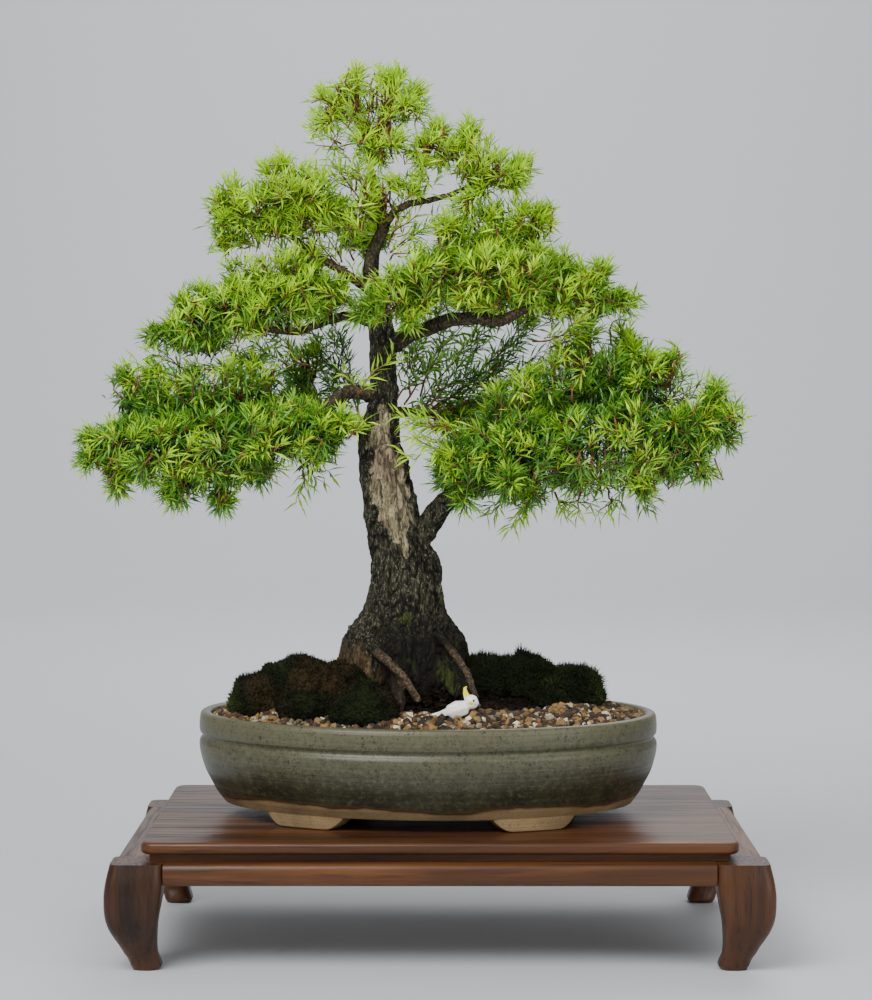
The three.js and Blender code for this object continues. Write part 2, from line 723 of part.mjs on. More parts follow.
// Moss cushions rest on the soil, and the gravel is spread round them
function mossBank(name, grow) {
  const random = randomFrom(CUSHION.seed + Object.keys(MOSS).indexOf(name));
  const cushions = MOSS[name].map(([x, y, z, ...radii]) => {
    const grown = radii.map((radius) => radius + grow);
    return lump([x, y, z, ...grown], 1, random, CUSHION.around, CUSHION.down, CUSHION.rough);
  });
  return join(cushions).simplify(TIDY.bank);
}

const mossHoles = [];
for (const name of Object.keys(MOSS)) {
  const bed = [soilForm(GAP, SOIL.beddingSpread), woodHole, ...mossHoles];
  const cushion = bed.reduce((left, cutter) => left.subtract(cutter), mossBank(name, 0));
  addPiece(name, largest(cushion.simplify(TIDY.moss)), "moss", 0.95);
  mossHoles.push(mossBank(name, CUSHION.clear));
}

const gravelBed = [soilForm(GAP, SOIL.beddingSpread), woodHole, ...mossHoles];
const gravel = gravelBed.reduce((left, cutter) => left.subtract(cutter), gravelForm());
addPiece("gravel", largest(gravel.simplify(TIDY.grains)), "gravel", 0.8);

// A small china cockatoo on the gravel
function bird() {
  const random = randomFrom(5);
  const ball = (middle, radii, tilt = 0) => {
    const body = lump([0, 0, 0, ...radii], 1, random, ROUND.around, ROUND.down, 0);
    return body.rotate([0, tilt, 0]).translate(middle);
  };
  const cone = (route) => stem(route, 4);
  return join([
    ball([2, 0, 9.5], [14, 8, 9], -16),
    ball([15.5, 0, 17], [7.6, 6.6, 7.4]),
    cone([[-6, 0, 8, 5.5], [-16, 0, 5, 3.4], [-23, 0, 4.2, 1.6]]),
    cone([[12, 0, 20, 5], [9.5, 0, 26, 3.4], [9, 0, 30.5, 1.9], [11, 0, 32.2, 0.9]]),
    cone([[19, 0, 15.5, 3.6], [23, 0, 13.6, 2.2], [24, 0, 10.8, 0.8]]),
  ]).translate([BIRD.x, BIRD.y, BIRD.z]);
}

const underBird = [[GAP, 0, 0], [-GAP, 0, 0], [0, GAP, 0], [0, -GAP, 0], [0, 0, GAP]]
  .map((shift) => gravelForm().translate(shift));
addPiece("cockatoo_figurine", largest(bird().subtract(join(underBird)).simplify(TIDY.china)), "china", 0.25);

// Foliage
// A shoot from root to tip: a three-sided stalk with its facets drawn out into pointed leaves
function shoot(root, tip, random) {
  const along = tip.clone().sub(root);
  const reach = Math.max(along.length() - 0.8 * SHOOT.leaf, SHOOT.sink + SHOOT.internode);
  along.normalize();
  const count = Math.max(2, Math.round((reach - SHOOT.sink) / SHOOT.internode) + 1);
  const across = (Math.abs(along.z) < 0.8 ? point(0, 0, 1) : point(0, 1, 0)).cross(along).normalize();
  const other = along.clone().cross(across);
  const start = random() * 2 * Math.PI;
  const corners = [];
  const triangles = [];
  for (let ring = 0; ring <= count; ring += 1) {
    const far = ring === 0 ? 0 : SHOOT.sink + ((reach - SHOOT.sink) * (ring - 1)) / Math.max(count - 1, 1);
    const radius = mix(SHOOT.stalk, SHOOT.stalkTip, ring / count);
    for (let side = 0; side < 3; side += 1) {
      const angle = start + (ring * Math.PI) / 3 + (side * 2 * Math.PI) / 3;
      corners.push(root.clone()
        .addScaledVector(along, far)
        .addScaledVector(across, radius * Math.cos(angle))
        .addScaledVector(other, radius * Math.sin(angle)));
    }
  }
  const leaf = (a, b, c, age) => {
    const middle = corners[a].clone().add(corners[b]).add(corners[c]).divideScalar(3);
    const outward = middle.clone().sub(root);
    outward.addScaledVector(along, -outward.dot(along)).normalize();
    const length = SHOOT.leaf * (0.86 + 0.28 * random()) * (age > 0.8 ? 0.9 : 1);
    const lean = radians(SHOOT.lean + 10 * (1 - age) + 8 * (random() - 0.5));
    const apex = corners.length;
    corners.push(middle
      .addScaledVector(outward, length * Math.sin(lean))
      .addScaledVector(along, length * Math.cos(lean)));
    triangles.push([a, b, apex], [b, c, apex], [c, a, apex]);
  };
  for (let ring = 0; ring < count; ring += 1) {
    const low = ring * 3;
    const high = low + 3;
    for (let side = 0; side < 3; side += 1) {
      const next = (side + 1) % 3;
      const pair = [[low + side, low + next, high + side], [high + side, low + next, high + next]];
      if (ring === 0) triangles.push(...pair);
      else pair.forEach((facet) => leaf(...facet, ring / count));
    }
  }
  const end = count * 3;
  const apex = corners.length;
  corners.push(root.clone().addScaledVector(along, reach + SHOOT.leaf * 0.9));
  triangles.push([0, 2, 1], [end, end + 1, apex], [end + 1, end + 2, apex], [end + 2, end, apex]);
  return solidFromLists(corners, triangles);
}

// The shoots that cover one lobe evenly
function coveringShoots(lobe, others, size, random) {
  const [x, y, z, rx, ry, rz] = lobe;
  const area = 4 * Math.PI * (((rx * ry) ** 1.6 + (rx * rz) ** 1.6 + (ry * rz) ** 1.6) / 3) ** (1 / 1.6);
  const count = Math.max(SHOOT.fewest, Math.round(area / SHOOT.area));
  const spin = random() * 2 * Math.PI;
  const found = [];
  for (let index = 0; index < count; index += 1) {
    const rise = 1 - (2 * (index + 0.5)) / count;
    const turn = spin + index * Math.PI * (3 - Math.sqrt(5));
    const level = Math.sqrt(1 - rise * rise);
    const way = point(level * Math.cos(turn), level * Math.sin(turn), rise);
    const tip = point(x + rx * way.x, y + ry * way.y, z + rz * way.z);
    if (others.some((other) => within(tip, other, 0.98))) continue;
    const root = point(x + rx * size * way.x, y + ry * size * way.y, z + rz * size * way.z);
    tip.add(point(0, 0, 5 * (1 - Math.abs(way.z))));
    found.push({ root, tip, most: SHOOT.crossing });
  }
  return found;
}

function tipShoots(tips, lobes, size) {
  return tips.map((place) => {
    const tip = point(...place);
    const middles = lobes.map((lobe) => ({ lobe, far: tip.distanceTo(point(...lobe)) }));
    const { lobe } = middles.reduce((best, entry) => (entry.far < best.far ? entry : best));
    const middle = point(...lobe);
    const way = tip.clone().sub(middle);
    const shrink = Math.hypot(way.x / lobe[3], way.y / lobe[4], way.z / lobe[5]);
    return { root: middle.addScaledVector(way, size / shrink), tip, most: Infinity };
  });
}

// A core that swells at each lobe of a row and narrows between two of them
function rowCore(row, size, random) {
  if (row.length === 1) return lump(row[0], size, random, ROUND.around, ROUND.down);
  const stations = row.map(([x, y, z, , ry, rz]) => ({ middle: point(x, y, z), ry, rz }));
  const waists = stations.slice(1).map((next, index) => {
    const last = stations[index];
    return {
      middle: last.middle.clone().lerp(next.middle, 0.5),
      ry: CORE.waist * mix(last.ry, next.ry, 0.5),
      rz: CORE.waist * mix(last.rz, next.rz, 0.5),
    };
  });
  const chain = stations.flatMap((station, index) => (
    index === 0 ? [station] : [waists[index - 1], station]
  ));
  const capped = [[0, 1], [row.length - 1, row.length - 2]].map(([end, inner]) => {
    const way = stations[end].middle.clone().sub(stations[inner].middle).normalize();
    return {
      middle: stations[end].middle.clone().addScaledVector(way, row[end][3] * size * CORE.ending),
      ry: CORE.end * stations[end].ry,
      rz: CORE.end * stations[end].rz,
    };
  });
  return loft([capped[0], ...chain, capped[1]].map(({ middle, ry, rz }) => (
    Array.from({ length: CORE.sides }, (_, side) => {
      const angle = (side / CORE.sides) * 2 * Math.PI;
      const reach = size * (1 + CORE.rough * (2 * random() - 1));
      const aside = point(0, reach * ry * Math.cos(angle), reach * rz * Math.sin(angle));
      return middle.clone().add(aside);
    })
  )));
}

// A core with its facets drawn out into leaves, apart from those that a shoot grows from
function leafed(core, row, roots, random) {
  const mesh = core.getMesh();
  const corners = [];
  for (let index = 0; index < mesh.vertProperties.length; index += 3) {
    corners.push(point(...mesh.vertProperties.slice(index, index + 3)));
  }
  const facets = [];
  for (let index = 0; index < mesh.triVerts.length; index += 3) {
    const [a, b, c] = mesh.triVerts.slice(index, index + 3);
    const facet = new THREE.Triangle(corners[a], corners[b], corners[c]);
    const round = facet.a.distanceTo(facet.b) + facet.b.distanceTo(facet.c) + facet.c.distanceTo(facet.a);
    facets.push({
      ends: [a, b, c],
      middle: facet.getMidpoint(new THREE.Vector3()),
      normal: facet.getNormal(new THREE.Vector3()),
      fit: (2 * facet.getArea()) / round,
    });
  }
  const nearRoot = roots.map((root) => facets.reduce((best, facet) => (
    facet.middle.distanceTo(root) < best.middle.distanceTo(root) ? facet : best
  )));
  const triangles = [];
  for (const facet of facets) {
    const [a, b, c] = facet.ends;
    const aside = point(random() - 0.5, random() - 0.5, random() - 0.5).multiplyScalar(CORE.stray);
    const sweep = point(facet.middle.x - TRUNK.axis, facet.middle.y, CORE.rise).setLength(CORE.sweep);
    const way = facet.normal.clone().add(sweep).add(aside).normalize();
    const drawn = CORE.leaf * (CORE.varied[0] + CORE.varied[1] * random());
    let length = Math.min(drawn, CORE.slender * facet.fit);
    const apexAt = () => facet.middle.clone().addScaledVector(way, length);
    while (length > CORE.shortest && !row.some((lobe) => within(apexAt(), lobe, CORE.inside))) {
      length *= CORE.shorten;
    }
    if (length <= CORE.shortest || nearRoot.includes(facet)) {
      triangles.push([a, b, c]);
      continue;
    }
    const apex = corners.length;
    corners.push(apexAt());
    triangles.push([a, b, apex], [b, c, apex], [c, a, apex]);
  }
  return solidFromLists(corners, triangles);
}

// The leafy cores of a bunch's rows, with a stalk to any row that lies apart
function leafCore(rows, size, roots, random) {
  const bare = rows.map((row) => rowCore(row, size, random));
  const parts = rows.map((row, index) => leafed(bare[index], row, roots, random));
  rows.slice(1).forEach((row, index) => {
    if (bare[0].intersect(bare[index + 1]).volume() > 50) return;
    const here = point(...row[0]);
    const nearest = rows[0].map((lobe) => point(...lobe))
      .reduce((best, other) => (other.distanceTo(here) < best.distanceTo(here) ? other : best));
    parts.push(stem([[...here.toArray(), 5], [...nearest.toArray(), 7]], 4));
  });
  return join(parts);
}

// A bunch before its shoots are fitted: its leafy core, and for each shoot its root, its tip and the most
// triangles that it may share with others
function planned({ rows, tips, core: size, seed }) {
  const random = randomFrom(seed);
  const lobes = rows.flat();
  const wanted = tipShoots(tips, lobes, size);
  lobes.forEach((lobe) => {
    wanted.push(...coveringShoots(lobe, lobes.filter((other) => other !== lobe), size, random));
  });
  return { core: leafCore(rows, size, wanted.map(({ root }) => root), random), wanted, random };
}

const boxesMeet = (first, second) => {
  const a = first.boundingBox();
  const b = second.boundingBox();
  return [0, 1, 2].every((axis) => a.min[axis] < b.max[axis] + 1 && b.min[axis] < a.max[axis] + 1);
};

// How much a shoot would cross others: the triangles that their shared parts have
const crossing = (leafy, others) => others.reduce((sum, other) => (
  boxesMeet(leafy, other) ? sum + leafy.intersect(other).numTri() : sum
), 0);

// The best of a few tries at a shoot that keeps clear of other pieces and crosses its fellows least
function placedShoot({ root, tip, most }, neighbours, fellows, random) {
  const start = root.clone().addScaledVector(tip.clone().sub(root).normalize(), -SHOOT.sink);
  let best = null;
  for (let round = 0; round < SHOOT.tries; round += 1) {
    const share = 1 - 0.1 * Math.floor(round / 3);
    const stray = point(random() - 0.5, random() - 0.5, random() - 0.5).multiplyScalar(3 * round);
    const leafy = shoot(start, start.clone().lerp(tip, share).add(stray), random);
    const near = neighbours.filter((other) => boxesMeet(leafy, other));
    if (near.some((other) => leafy.minGap(other, 2 * SHOOT.clear) <= SHOOT.clear)) continue;
    const cost = crossing(leafy, fellows) + SHOOT.shortened * (1 - share);
    if (!best || cost < best.cost) best = { leafy, cost };
  }
  return best && best.cost <= most ? best.leafy : null;
}

function bunch({ core, wanted, random }, neighbours) {
  const shoots = [];
  for (const place of wanted) {
    const leafy = placedShoot(place, neighbours, [core, ...shoots], random);
    if (leafy) shoots.push(leafy);
  }
  return largest(join([core, ...shoots]).subtract(woodHole).simplify(TIDY.leaves));
}

const fixed = ["moss_left", "moss_right", "moss_rear", "gravel", "pot"].map((name) => solids[name]);
const plans = BUNCHES.map(planned);
BUNCHES.forEach(({ name }, index) => {
  const made = BUNCHES.slice(0, index).map((earlier) => solids[earlier.name]);
  const neighbours = [...made, ...plans.slice(index + 1).map(({ core }) => core), ...fixed];
  addPiece(name, bunch(plans[index], neighbours), "leaf", 0.6);
});

// The origin is under the middle of the whole, on the surface that the stand rests on
const extent = new THREE.Box3().setFromObject(model);
const middle = extent.getCenter(new THREE.Vector3());
model.children.forEach((mesh) => mesh.geometry.translate(-middle.x, -middle.y, -extent.min.z));

export default model;
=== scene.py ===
import math

import bmesh
import bpy
import numpy as np
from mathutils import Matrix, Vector, noise
from mathutils.bvhtree import BVHTree


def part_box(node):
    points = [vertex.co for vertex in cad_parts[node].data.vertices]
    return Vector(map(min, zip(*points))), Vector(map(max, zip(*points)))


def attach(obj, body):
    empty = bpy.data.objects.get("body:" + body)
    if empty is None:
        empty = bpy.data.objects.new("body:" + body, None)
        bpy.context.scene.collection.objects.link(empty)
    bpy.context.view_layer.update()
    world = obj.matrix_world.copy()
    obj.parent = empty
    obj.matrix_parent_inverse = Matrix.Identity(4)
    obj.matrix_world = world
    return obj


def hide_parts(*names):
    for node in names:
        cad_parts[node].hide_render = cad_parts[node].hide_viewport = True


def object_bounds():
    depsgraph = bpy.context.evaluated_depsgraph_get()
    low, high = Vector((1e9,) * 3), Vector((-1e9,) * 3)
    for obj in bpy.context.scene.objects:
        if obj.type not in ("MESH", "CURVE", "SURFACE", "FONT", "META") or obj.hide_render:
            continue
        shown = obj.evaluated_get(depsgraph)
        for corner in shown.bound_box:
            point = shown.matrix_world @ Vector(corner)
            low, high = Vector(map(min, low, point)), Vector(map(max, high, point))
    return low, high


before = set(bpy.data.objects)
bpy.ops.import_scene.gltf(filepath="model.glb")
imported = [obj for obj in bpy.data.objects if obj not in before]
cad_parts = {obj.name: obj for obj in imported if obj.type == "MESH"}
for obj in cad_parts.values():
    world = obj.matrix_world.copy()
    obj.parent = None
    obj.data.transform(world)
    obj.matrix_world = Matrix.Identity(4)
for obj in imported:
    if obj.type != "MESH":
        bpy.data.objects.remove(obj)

bl_info = {
    "name": "Black tea tree bonsai",
    "version": (1, 0, 0),
    "blender": (4, 5, 0),
    "location": "3D View > Sidebar > Bonsai",
    "description": "Dresses the packed bonsai, its pot and its stand with detailed pieces and finishes",
    "category": "Object",
}

CAD_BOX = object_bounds()
MM = 0.001
BODY = "root"

# Places that come from the frame
PANEL_LOW, PANEL_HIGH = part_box("stand_panel")
MIDDLE_X = (PANEL_LOW.x + PANEL_HIGH.x) / 2


# Finishes


class Finish:
    """A procedural material, built a node at a time round one Principled shader."""

    def __init__(self, name, roughness, **constants):
        self.material = bpy.data.materials.new(name)
        self.material.use_nodes = True
        self.nodes = self.material.node_tree.nodes
        self.links = self.material.node_tree.links
        self.shader = self.nodes["Principled BSDF"]
        self.shader.inputs["Roughness"].default_value = roughness
        for socket, value in constants.items():
            label = socket.replace("_", " ").title().replace("Ior", "IOR")
            self.shader.inputs[label].default_value = value
        self.place = self.nodes.new("ShaderNodeTexCoord").outputs["Object"]

    def feed(self, socket, value):
        """Gives an input a constant, a colour or the output of another node."""
        if isinstance(value, bpy.types.NodeSocket):
            self.links.new(value, socket)
        elif isinstance(value, tuple) and socket.type == "RGBA":
            socket.default_value = (*value, 1.0)[:4]
        else:
            socket.default_value = value

    def stretched(self, scale, turn=(0, 0, 0)):
        """The place on the object in metres, turned and scaled for a directed grain."""
        node = self.nodes.new("ShaderNodeMapping")
        self.feed(node.inputs["Vector"], self.place)
        node.inputs["Rotation"].default_value = turn
        node.inputs["Scale"].default_value = scale
        return node.outputs["Vector"]

    def clouds(self, scale, detail=4.0, roughness=0.55, distortion=0.0, place=None):
        node = self.nodes.new("ShaderNodeTexNoise")
        self.feed(node.inputs["Vector"], place or self.place)
        node.inputs["Scale"].default_value = scale
        node.inputs["Detail"].default_value = detail
        node.inputs["Roughness"].default_value = roughness
        node.inputs["Distortion"].default_value = distortion
        return node.outputs["Fac"]

    def cells(self, scale, place=None):
        node = self.nodes.new("ShaderNodeTexVoronoi")
        self.feed(node.inputs["Vector"], place or self.place)
        node.inputs["Scale"].default_value = scale
        return node.outputs["Distance"]

    def value(self, name):
        """A number that the piece's mesh carries at each point."""
        node = self.nodes.new("ShaderNodeAttribute")
        node.attribute_name = name
        return node.outputs["Fac"]

    def height(self):
        node = self.nodes.new("ShaderNodeSeparateXYZ")
        self.feed(node.inputs[0], self.place)
        return node.outputs["Z"]

    def sum(self, operation, first, second):
        node = self.nodes.new("ShaderNodeMath")
        node.operation = operation
        self.feed(node.inputs[0], first)
        self.feed(node.inputs[1], second)
        return node.outputs[0]

    def band(self, value, low, high, bottom=0.0, top=1.0):
        """A smooth step: bottom under low, top over high."""
        node = self.nodes.new("ShaderNodeMapRange")
        node.interpolation_type = "SMOOTHSTEP"
        self.feed(node.inputs["Value"], value)
        for socket, number in zip(("From Min", "From Max", "To Min", "To Max"), (low, high, bottom, top)):
            node.inputs[socket].default_value = number
        return node.outputs["Result"]

    def ramp(self, value, stops):
        node = self.nodes.new("ShaderNodeValToRGB")
        self.feed(node.inputs["Fac"], value)
        elements = node.color_ramp.elements
        while len(elements) < len(stops):
            elements.new(0.5)
        for element, (position, colour) in zip(elements, stops):
            element.position = position
            element.color = (*colour, 1.0)
        return node.outputs["Color"]

    def blend(self, share, first, second):
        node = self.nodes.new("ShaderNodeMix")
        node.data_type = "RGBA"
        self.feed(node.inputs[0], share)
        self.feed(node.inputs[6], first)
        self.feed(node.inputs[7], second)
        return node.outputs[2]

    def relief(self, *layers):
        """Bumps, each a height and its depth in metres, laid over each other."""
        normal = None
        for heights, depth in layers:
            node = self.nodes.new("ShaderNodeBump")
            node.inputs["Distance"].default_value = depth
            self.feed(node.inputs["Height"], heights)
            if normal:
                self.feed(node.inputs["Normal"], normal)
            normal = node.outputs["Normal"]
        self.feed(self.shader.inputs["Normal"], normal)

    def done(self, colour, roughness=None):
        self.feed(self.shader.inputs["Base Color"], colour)
        if roughness is not None:
            self.feed(self.shader.inputs["Roughness"], roughness)
        return self.material


def shaded(colour, factor):
    """A colour made darker, or lighter by a factor over 1."""
    return tuple(factor * part for part in colour)


# Meshes


def smoothstep(value, low, high):
    """0 up to low and 1 from high on, with a soft rise between them."""
    share = np.clip((np.asarray(value, float) - low) / (high - low), 0.0, 1.0)
    return share * share * (3 - 2 * share)


def smooth_line(points, count):
    """A Catmull-Rom line through points of any width, as count evenly numbered points."""
    points = np.asarray(points, float)
    ends = np.vstack([2 * points[0] - points[1], points, 2 * points[-1] - points[-2]])
    steps = np.linspace(0, len(points) - 1, count)
    start = np.minimum(steps.astype(int), len(points) - 2)
    share = (steps - start)[:, None]
    before, here, there, after = (ends[start + offset] for offset in range(4))
    return 0.5 * (
        2 * here + (there - before) * share
        + (2 * before - 5 * here + 4 * there - after) * share ** 2
        + (3 * here - before - 3 * there + after) * share ** 3
    )


def piece_from(name, points, triangles, finish, smooth=True, **values):
    """An object from arrays of points and triangles, with any numbers that it carries at each point."""
    mesh = bpy.data.meshes.new(name)
    triangles = np.asarray(triangles, np.int32)
    mesh.vertices.add(len(points))
    mesh.vertices.foreach_set("co", np.asarray(points, np.float32).ravel())
    mesh.loops.add(triangles.size)
    mesh.loops.foreach_set("vertex_index", triangles.ravel())
    mesh.polygons.add(len(triangles))
    mesh.polygons.foreach_set("loop_start", np.arange(0, triangles.size, 3, dtype=np.int32))
    mesh.polygons.foreach_set("use_smooth", np.full(len(triangles), smooth))
    mesh.update(calc_edges=True)
    for key, numbers in values.items():
        layer = mesh.attributes.new(key, "FLOAT", "POINT")
        layer.data.foreach_set("value", np.asarray(numbers, np.float32))
    mesh.validate()
    mesh.materials.append(finish)
    piece = bpy.data.objects.new(name, mesh)
    bpy.context.scene.collection.objects.link(piece)
    return piece


def settle(piece, slot, *nodes):
    """Ties a piece to the frame: it rides on the body and stands for its nodes; the slot is not used."""
    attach(piece, BODY)
    if nodes:
        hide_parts(*nodes)


def dress(node, finish):
    """Gives its finish to a CAD node that stays as it is."""
    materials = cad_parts[node].data.materials
    materials.clear()
    materials.append(finish)


def together(parts):
    """One list of points and one of triangles from several."""
    points, triangles, start = [], [], 0
    for part_points, part_triangles in parts:
        points.append(np.asarray(part_points, float))
        triangles.append(np.asarray(part_triangles, int) + start)
        start += len(part_points)
    return np.vstack(points), np.vstack(triangles)


def skin(rings):
    """A skin over rings of points that match one to one, with a fan at each end."""
    rings = np.asarray(rings, float)
    count, sides = rings.shape[:2]
    points = rings.reshape(-1, 3)
    ring, side = np.meshgrid(np.arange(count - 1), np.arange(sides), indexing="ij")
    low, high = ring * sides, (ring + 1) * sides
    after = (side + 1) % sides
    corners = [low + side, low + after, high + after, high + side]
    a, b, c, d = (corner.ravel() for corner in corners)
    triangles = [np.column_stack([a, b, c]), np.column_stack([a, c, d])]
    for index, turned in ((0, True), (count - 1, False)):
        hub = len(points)
        points = np.vstack([points, rings[index].mean(0)])
        here = index * sides + np.arange(sides)
        ahead = index * sides + (np.arange(sides) + 1) % sides
        order = [ahead, here] if turned else [here, ahead]
        triangles.append(np.column_stack([*order, np.full(sides, hub)]))
    return points, np.vstack(triangles)


def face_out(piece):
    """Turns the faces of a closed mesh outward."""
    shape = bmesh.new()
    shape.from_mesh(piece.data)
    bmesh.ops.recalc_face_normals(shape, faces=shape.faces)
    shape.to_mesh(piece.data)
    shape.free()
    return piece


def tube(points, radii, sides):
    """A round stem through points, with its radius at each."""
    points = np.asarray(points, float)
    along = np.gradient(points, axis=0)
    along /= np.linalg.norm(along, axis=1)[:, None] + 1e-12
    across = np.array([0.0, 0.0, 1.0]) if abs(along[0][2]) < 0.8 else np.array([0.0, 1.0, 0.0])
    turn = (np.arange(sides) + 0.5) / sides * 2 * math.pi
    rings = []
    for centre, way, radius in zip(points, along, radii):
        across = across - way * (across @ way)
        across /= np.linalg.norm(across)
        other = np.cross(way, across)
        rings.append(centre + radius * (np.outer(np.cos(turn), across) + np.outer(np.sin(turn), other)))
    return skin(rings)


def scatter(template, origins, axes, sizes):
    """Copies of a small shape: axes holds each copy's three directions, sizes its scale along them."""
    shape_points, shape_triangles = template
    local = shape_points[None, :, :] * sizes[:, None, :]
    points = origins[:, None, :] + np.einsum("nki,nij->nkj", local, axes)
    count = len(shape_points)
    triangles = shape_triangles[None, :, :] + (np.arange(len(origins)) * count)[:, None, None]
    return points.reshape(-1, 3), triangles.reshape(-1, 3)


def axes_from(ways, spins):
    """Three directions for each copy: its way, and two across it that its spin turns round the way."""
    ways = ways / (np.linalg.norm(ways, axis=1)[:, None] + 1e-12)
    helper = np.where(np.abs(ways[:, 2:3]) < 0.9, [[0.0, 0.0, 1.0]], [[1.0, 0.0, 0.0]])
    across = np.cross(helper, ways)
    across /= np.linalg.norm(across, axis=1)[:, None]
    other = np.cross(ways, across)
    cosine, sine = np.cos(spins)[:, None], np.sin(spins)[:, None]
    turned = across * cosine + other * sine
    return np.stack([ways, turned, np.cross(ways, turned)], axis=1)


def node_mesh(node):
    """A CAD node's corners, merged, and its triangles."""
    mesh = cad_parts[node].data
    mesh.calc_loop_triangles()
    points = np.empty(len(mesh.vertices) * 3)
    mesh.vertices.foreach_get("co", points)
    triangles = np.empty(len(mesh.loop_triangles) * 3, int)
    mesh.loop_triangles.foreach_get("vertices", triangles)
    rounded = np.round(points.reshape(-1, 3), 6)
    merged, index = np.unique(rounded, axis=0, return_inverse=True)
    triangles = index.ravel()[triangles].reshape(-1, 3)
    whole = (triangles[:, 0] != triangles[:, 1]) & (triangles[:, 1] != triangles[:, 2])
    return merged, triangles[whole & (triangles[:, 2] != triangles[:, 0])]


def face_normals(points, triangles):
    """Each triangle's normal, as long as twice its area."""
    a, b, c = (points[triangles[:, corner]] for corner in range(3))
    return np.cross(b - a, c - a)


def facing_up(points, triangles, least):
    """Which triangles look up by more than this, where 1 is straight up."""
    normals = face_normals(points, triangles)
    return normals[:, 2] / (np.linalg.norm(normals, axis=1) + 1e-15) > least


def spread_over(points, triangles, count, rng):
    """Random places spread evenly by area over a surface, with the surface's normals there."""
    a, b, c = (points[triangles[:, corner]] for corner in range(3))
    normals = face_normals(points, triangles)
    areas = np.linalg.norm(normals, axis=1)
    chosen = rng.choice(len(triangles), count, p=areas / areas.sum())
    first, second = rng.random(count), rng.random(count)
    folded = first + second > 1
    first[folded], second[folded] = 1 - first[folded], 1 - second[folded]
    places = a[chosen] + first[:, None] * (b - a)[chosen] + second[:, None] * (c - a)[chosen]
    return places, normals[chosen] / areas[chosen][:, None]


# Settings


def length_setting(name, description, default, least=0.0):
    return bpy.props.FloatProperty(
        name=name, description=description, default=default, min=least, unit="LENGTH")


def colour_setting(name, description, default):
    return bpy.props.FloatVectorProperty(
        name=name, description=description, default=default, min=0.0, max=1.0, subtype="COLOR")


class StageSettings(bpy.types.PropertyGroup):
    camera_distance: length_setting("Camera distance", "From the lens to the middle of the tree", 2.8, 1.0)
    camera_height: length_setting("Camera height", "Of the lens over the floor", 0.575)
    target_height: length_setting("Target height", "Of the point at the middle of the picture", 0.437)
    lens: bpy.props.FloatProperty(
        name="Lens", description="Focal length in millimetres", default=100.8, min=20.0)
    floor_colour: colour_setting("Floor", "Colour of the plain floor", (0.60, 0.63, 0.66))


class StandSettings(bpy.types.PropertyGroup):
    heartwood: colour_setting("Heartwood", "Darker colour of the grain", (0.013, 0.0046, 0.0024))
    sapwood: colour_setting("Light wood", "Lighter colour of the grain", (0.185, 0.068, 0.022))
    nosing: length_setting("Nosing", "Radius of the board's rounded edge", 4.5 * MM, 0.5 * MM)
    corner: length_setting("Corner", "Radius of the board's corners", 13.5 * MM)


class PotSettings(bpy.types.PropertyGroup):
    half_length: length_setting("Half length", "From the oval's middle to its end", 230 * MM)
    half_width: length_setting("Half width", "From the oval's middle to its side", 160 * MM)
    middle_x: bpy.props.FloatProperty(
        name="Middle", description="Of the oval, to the right of the stand's middle",
        default=-12.5 * MM, unit="LENGTH")
    yaw: bpy.props.FloatProperty(
        name="Yaw", description="Turn of the pot on the stand", default=math.radians(-4),
        subtype="ANGLE")
    glaze: colour_setting("Glaze", "Colour of the glaze", (0.076, 0.073, 0.040))
    clay: colour_setting("Clay", "Colour of the bare clay", (0.31, 0.215, 0.105))


class TreeSettings(bpy.types.PropertyGroup):
    bark_dark: colour_setting("Dark bark", "Colour in the fissures", (0.007, 0.006, 0.0045))
    bark_pale: colour_setting("Pale bark", "Colour of the ridges", (0.080, 0.075, 0.046))
    bare_wood: colour_setting("Bare wood", "Colour of the strip without bark", (0.40, 0.34, 0.20))
    lichen: colour_setting("Moss on bark", "Colour of the mossy spots", (0.10, 0.13, 0.02))
    leaf: colour_setting("Leaf", "Colour of the older leaves", (0.105, 0.325, 0.030))
    fresh_leaf: colour_setting("Fresh leaf", "Colour of the newest leaves", (0.56, 0.88, 0.020))
    moss: colour_setting("Moss", "Colour of the moss cushions", (0.019, 0.030, 0.006))


# Stage


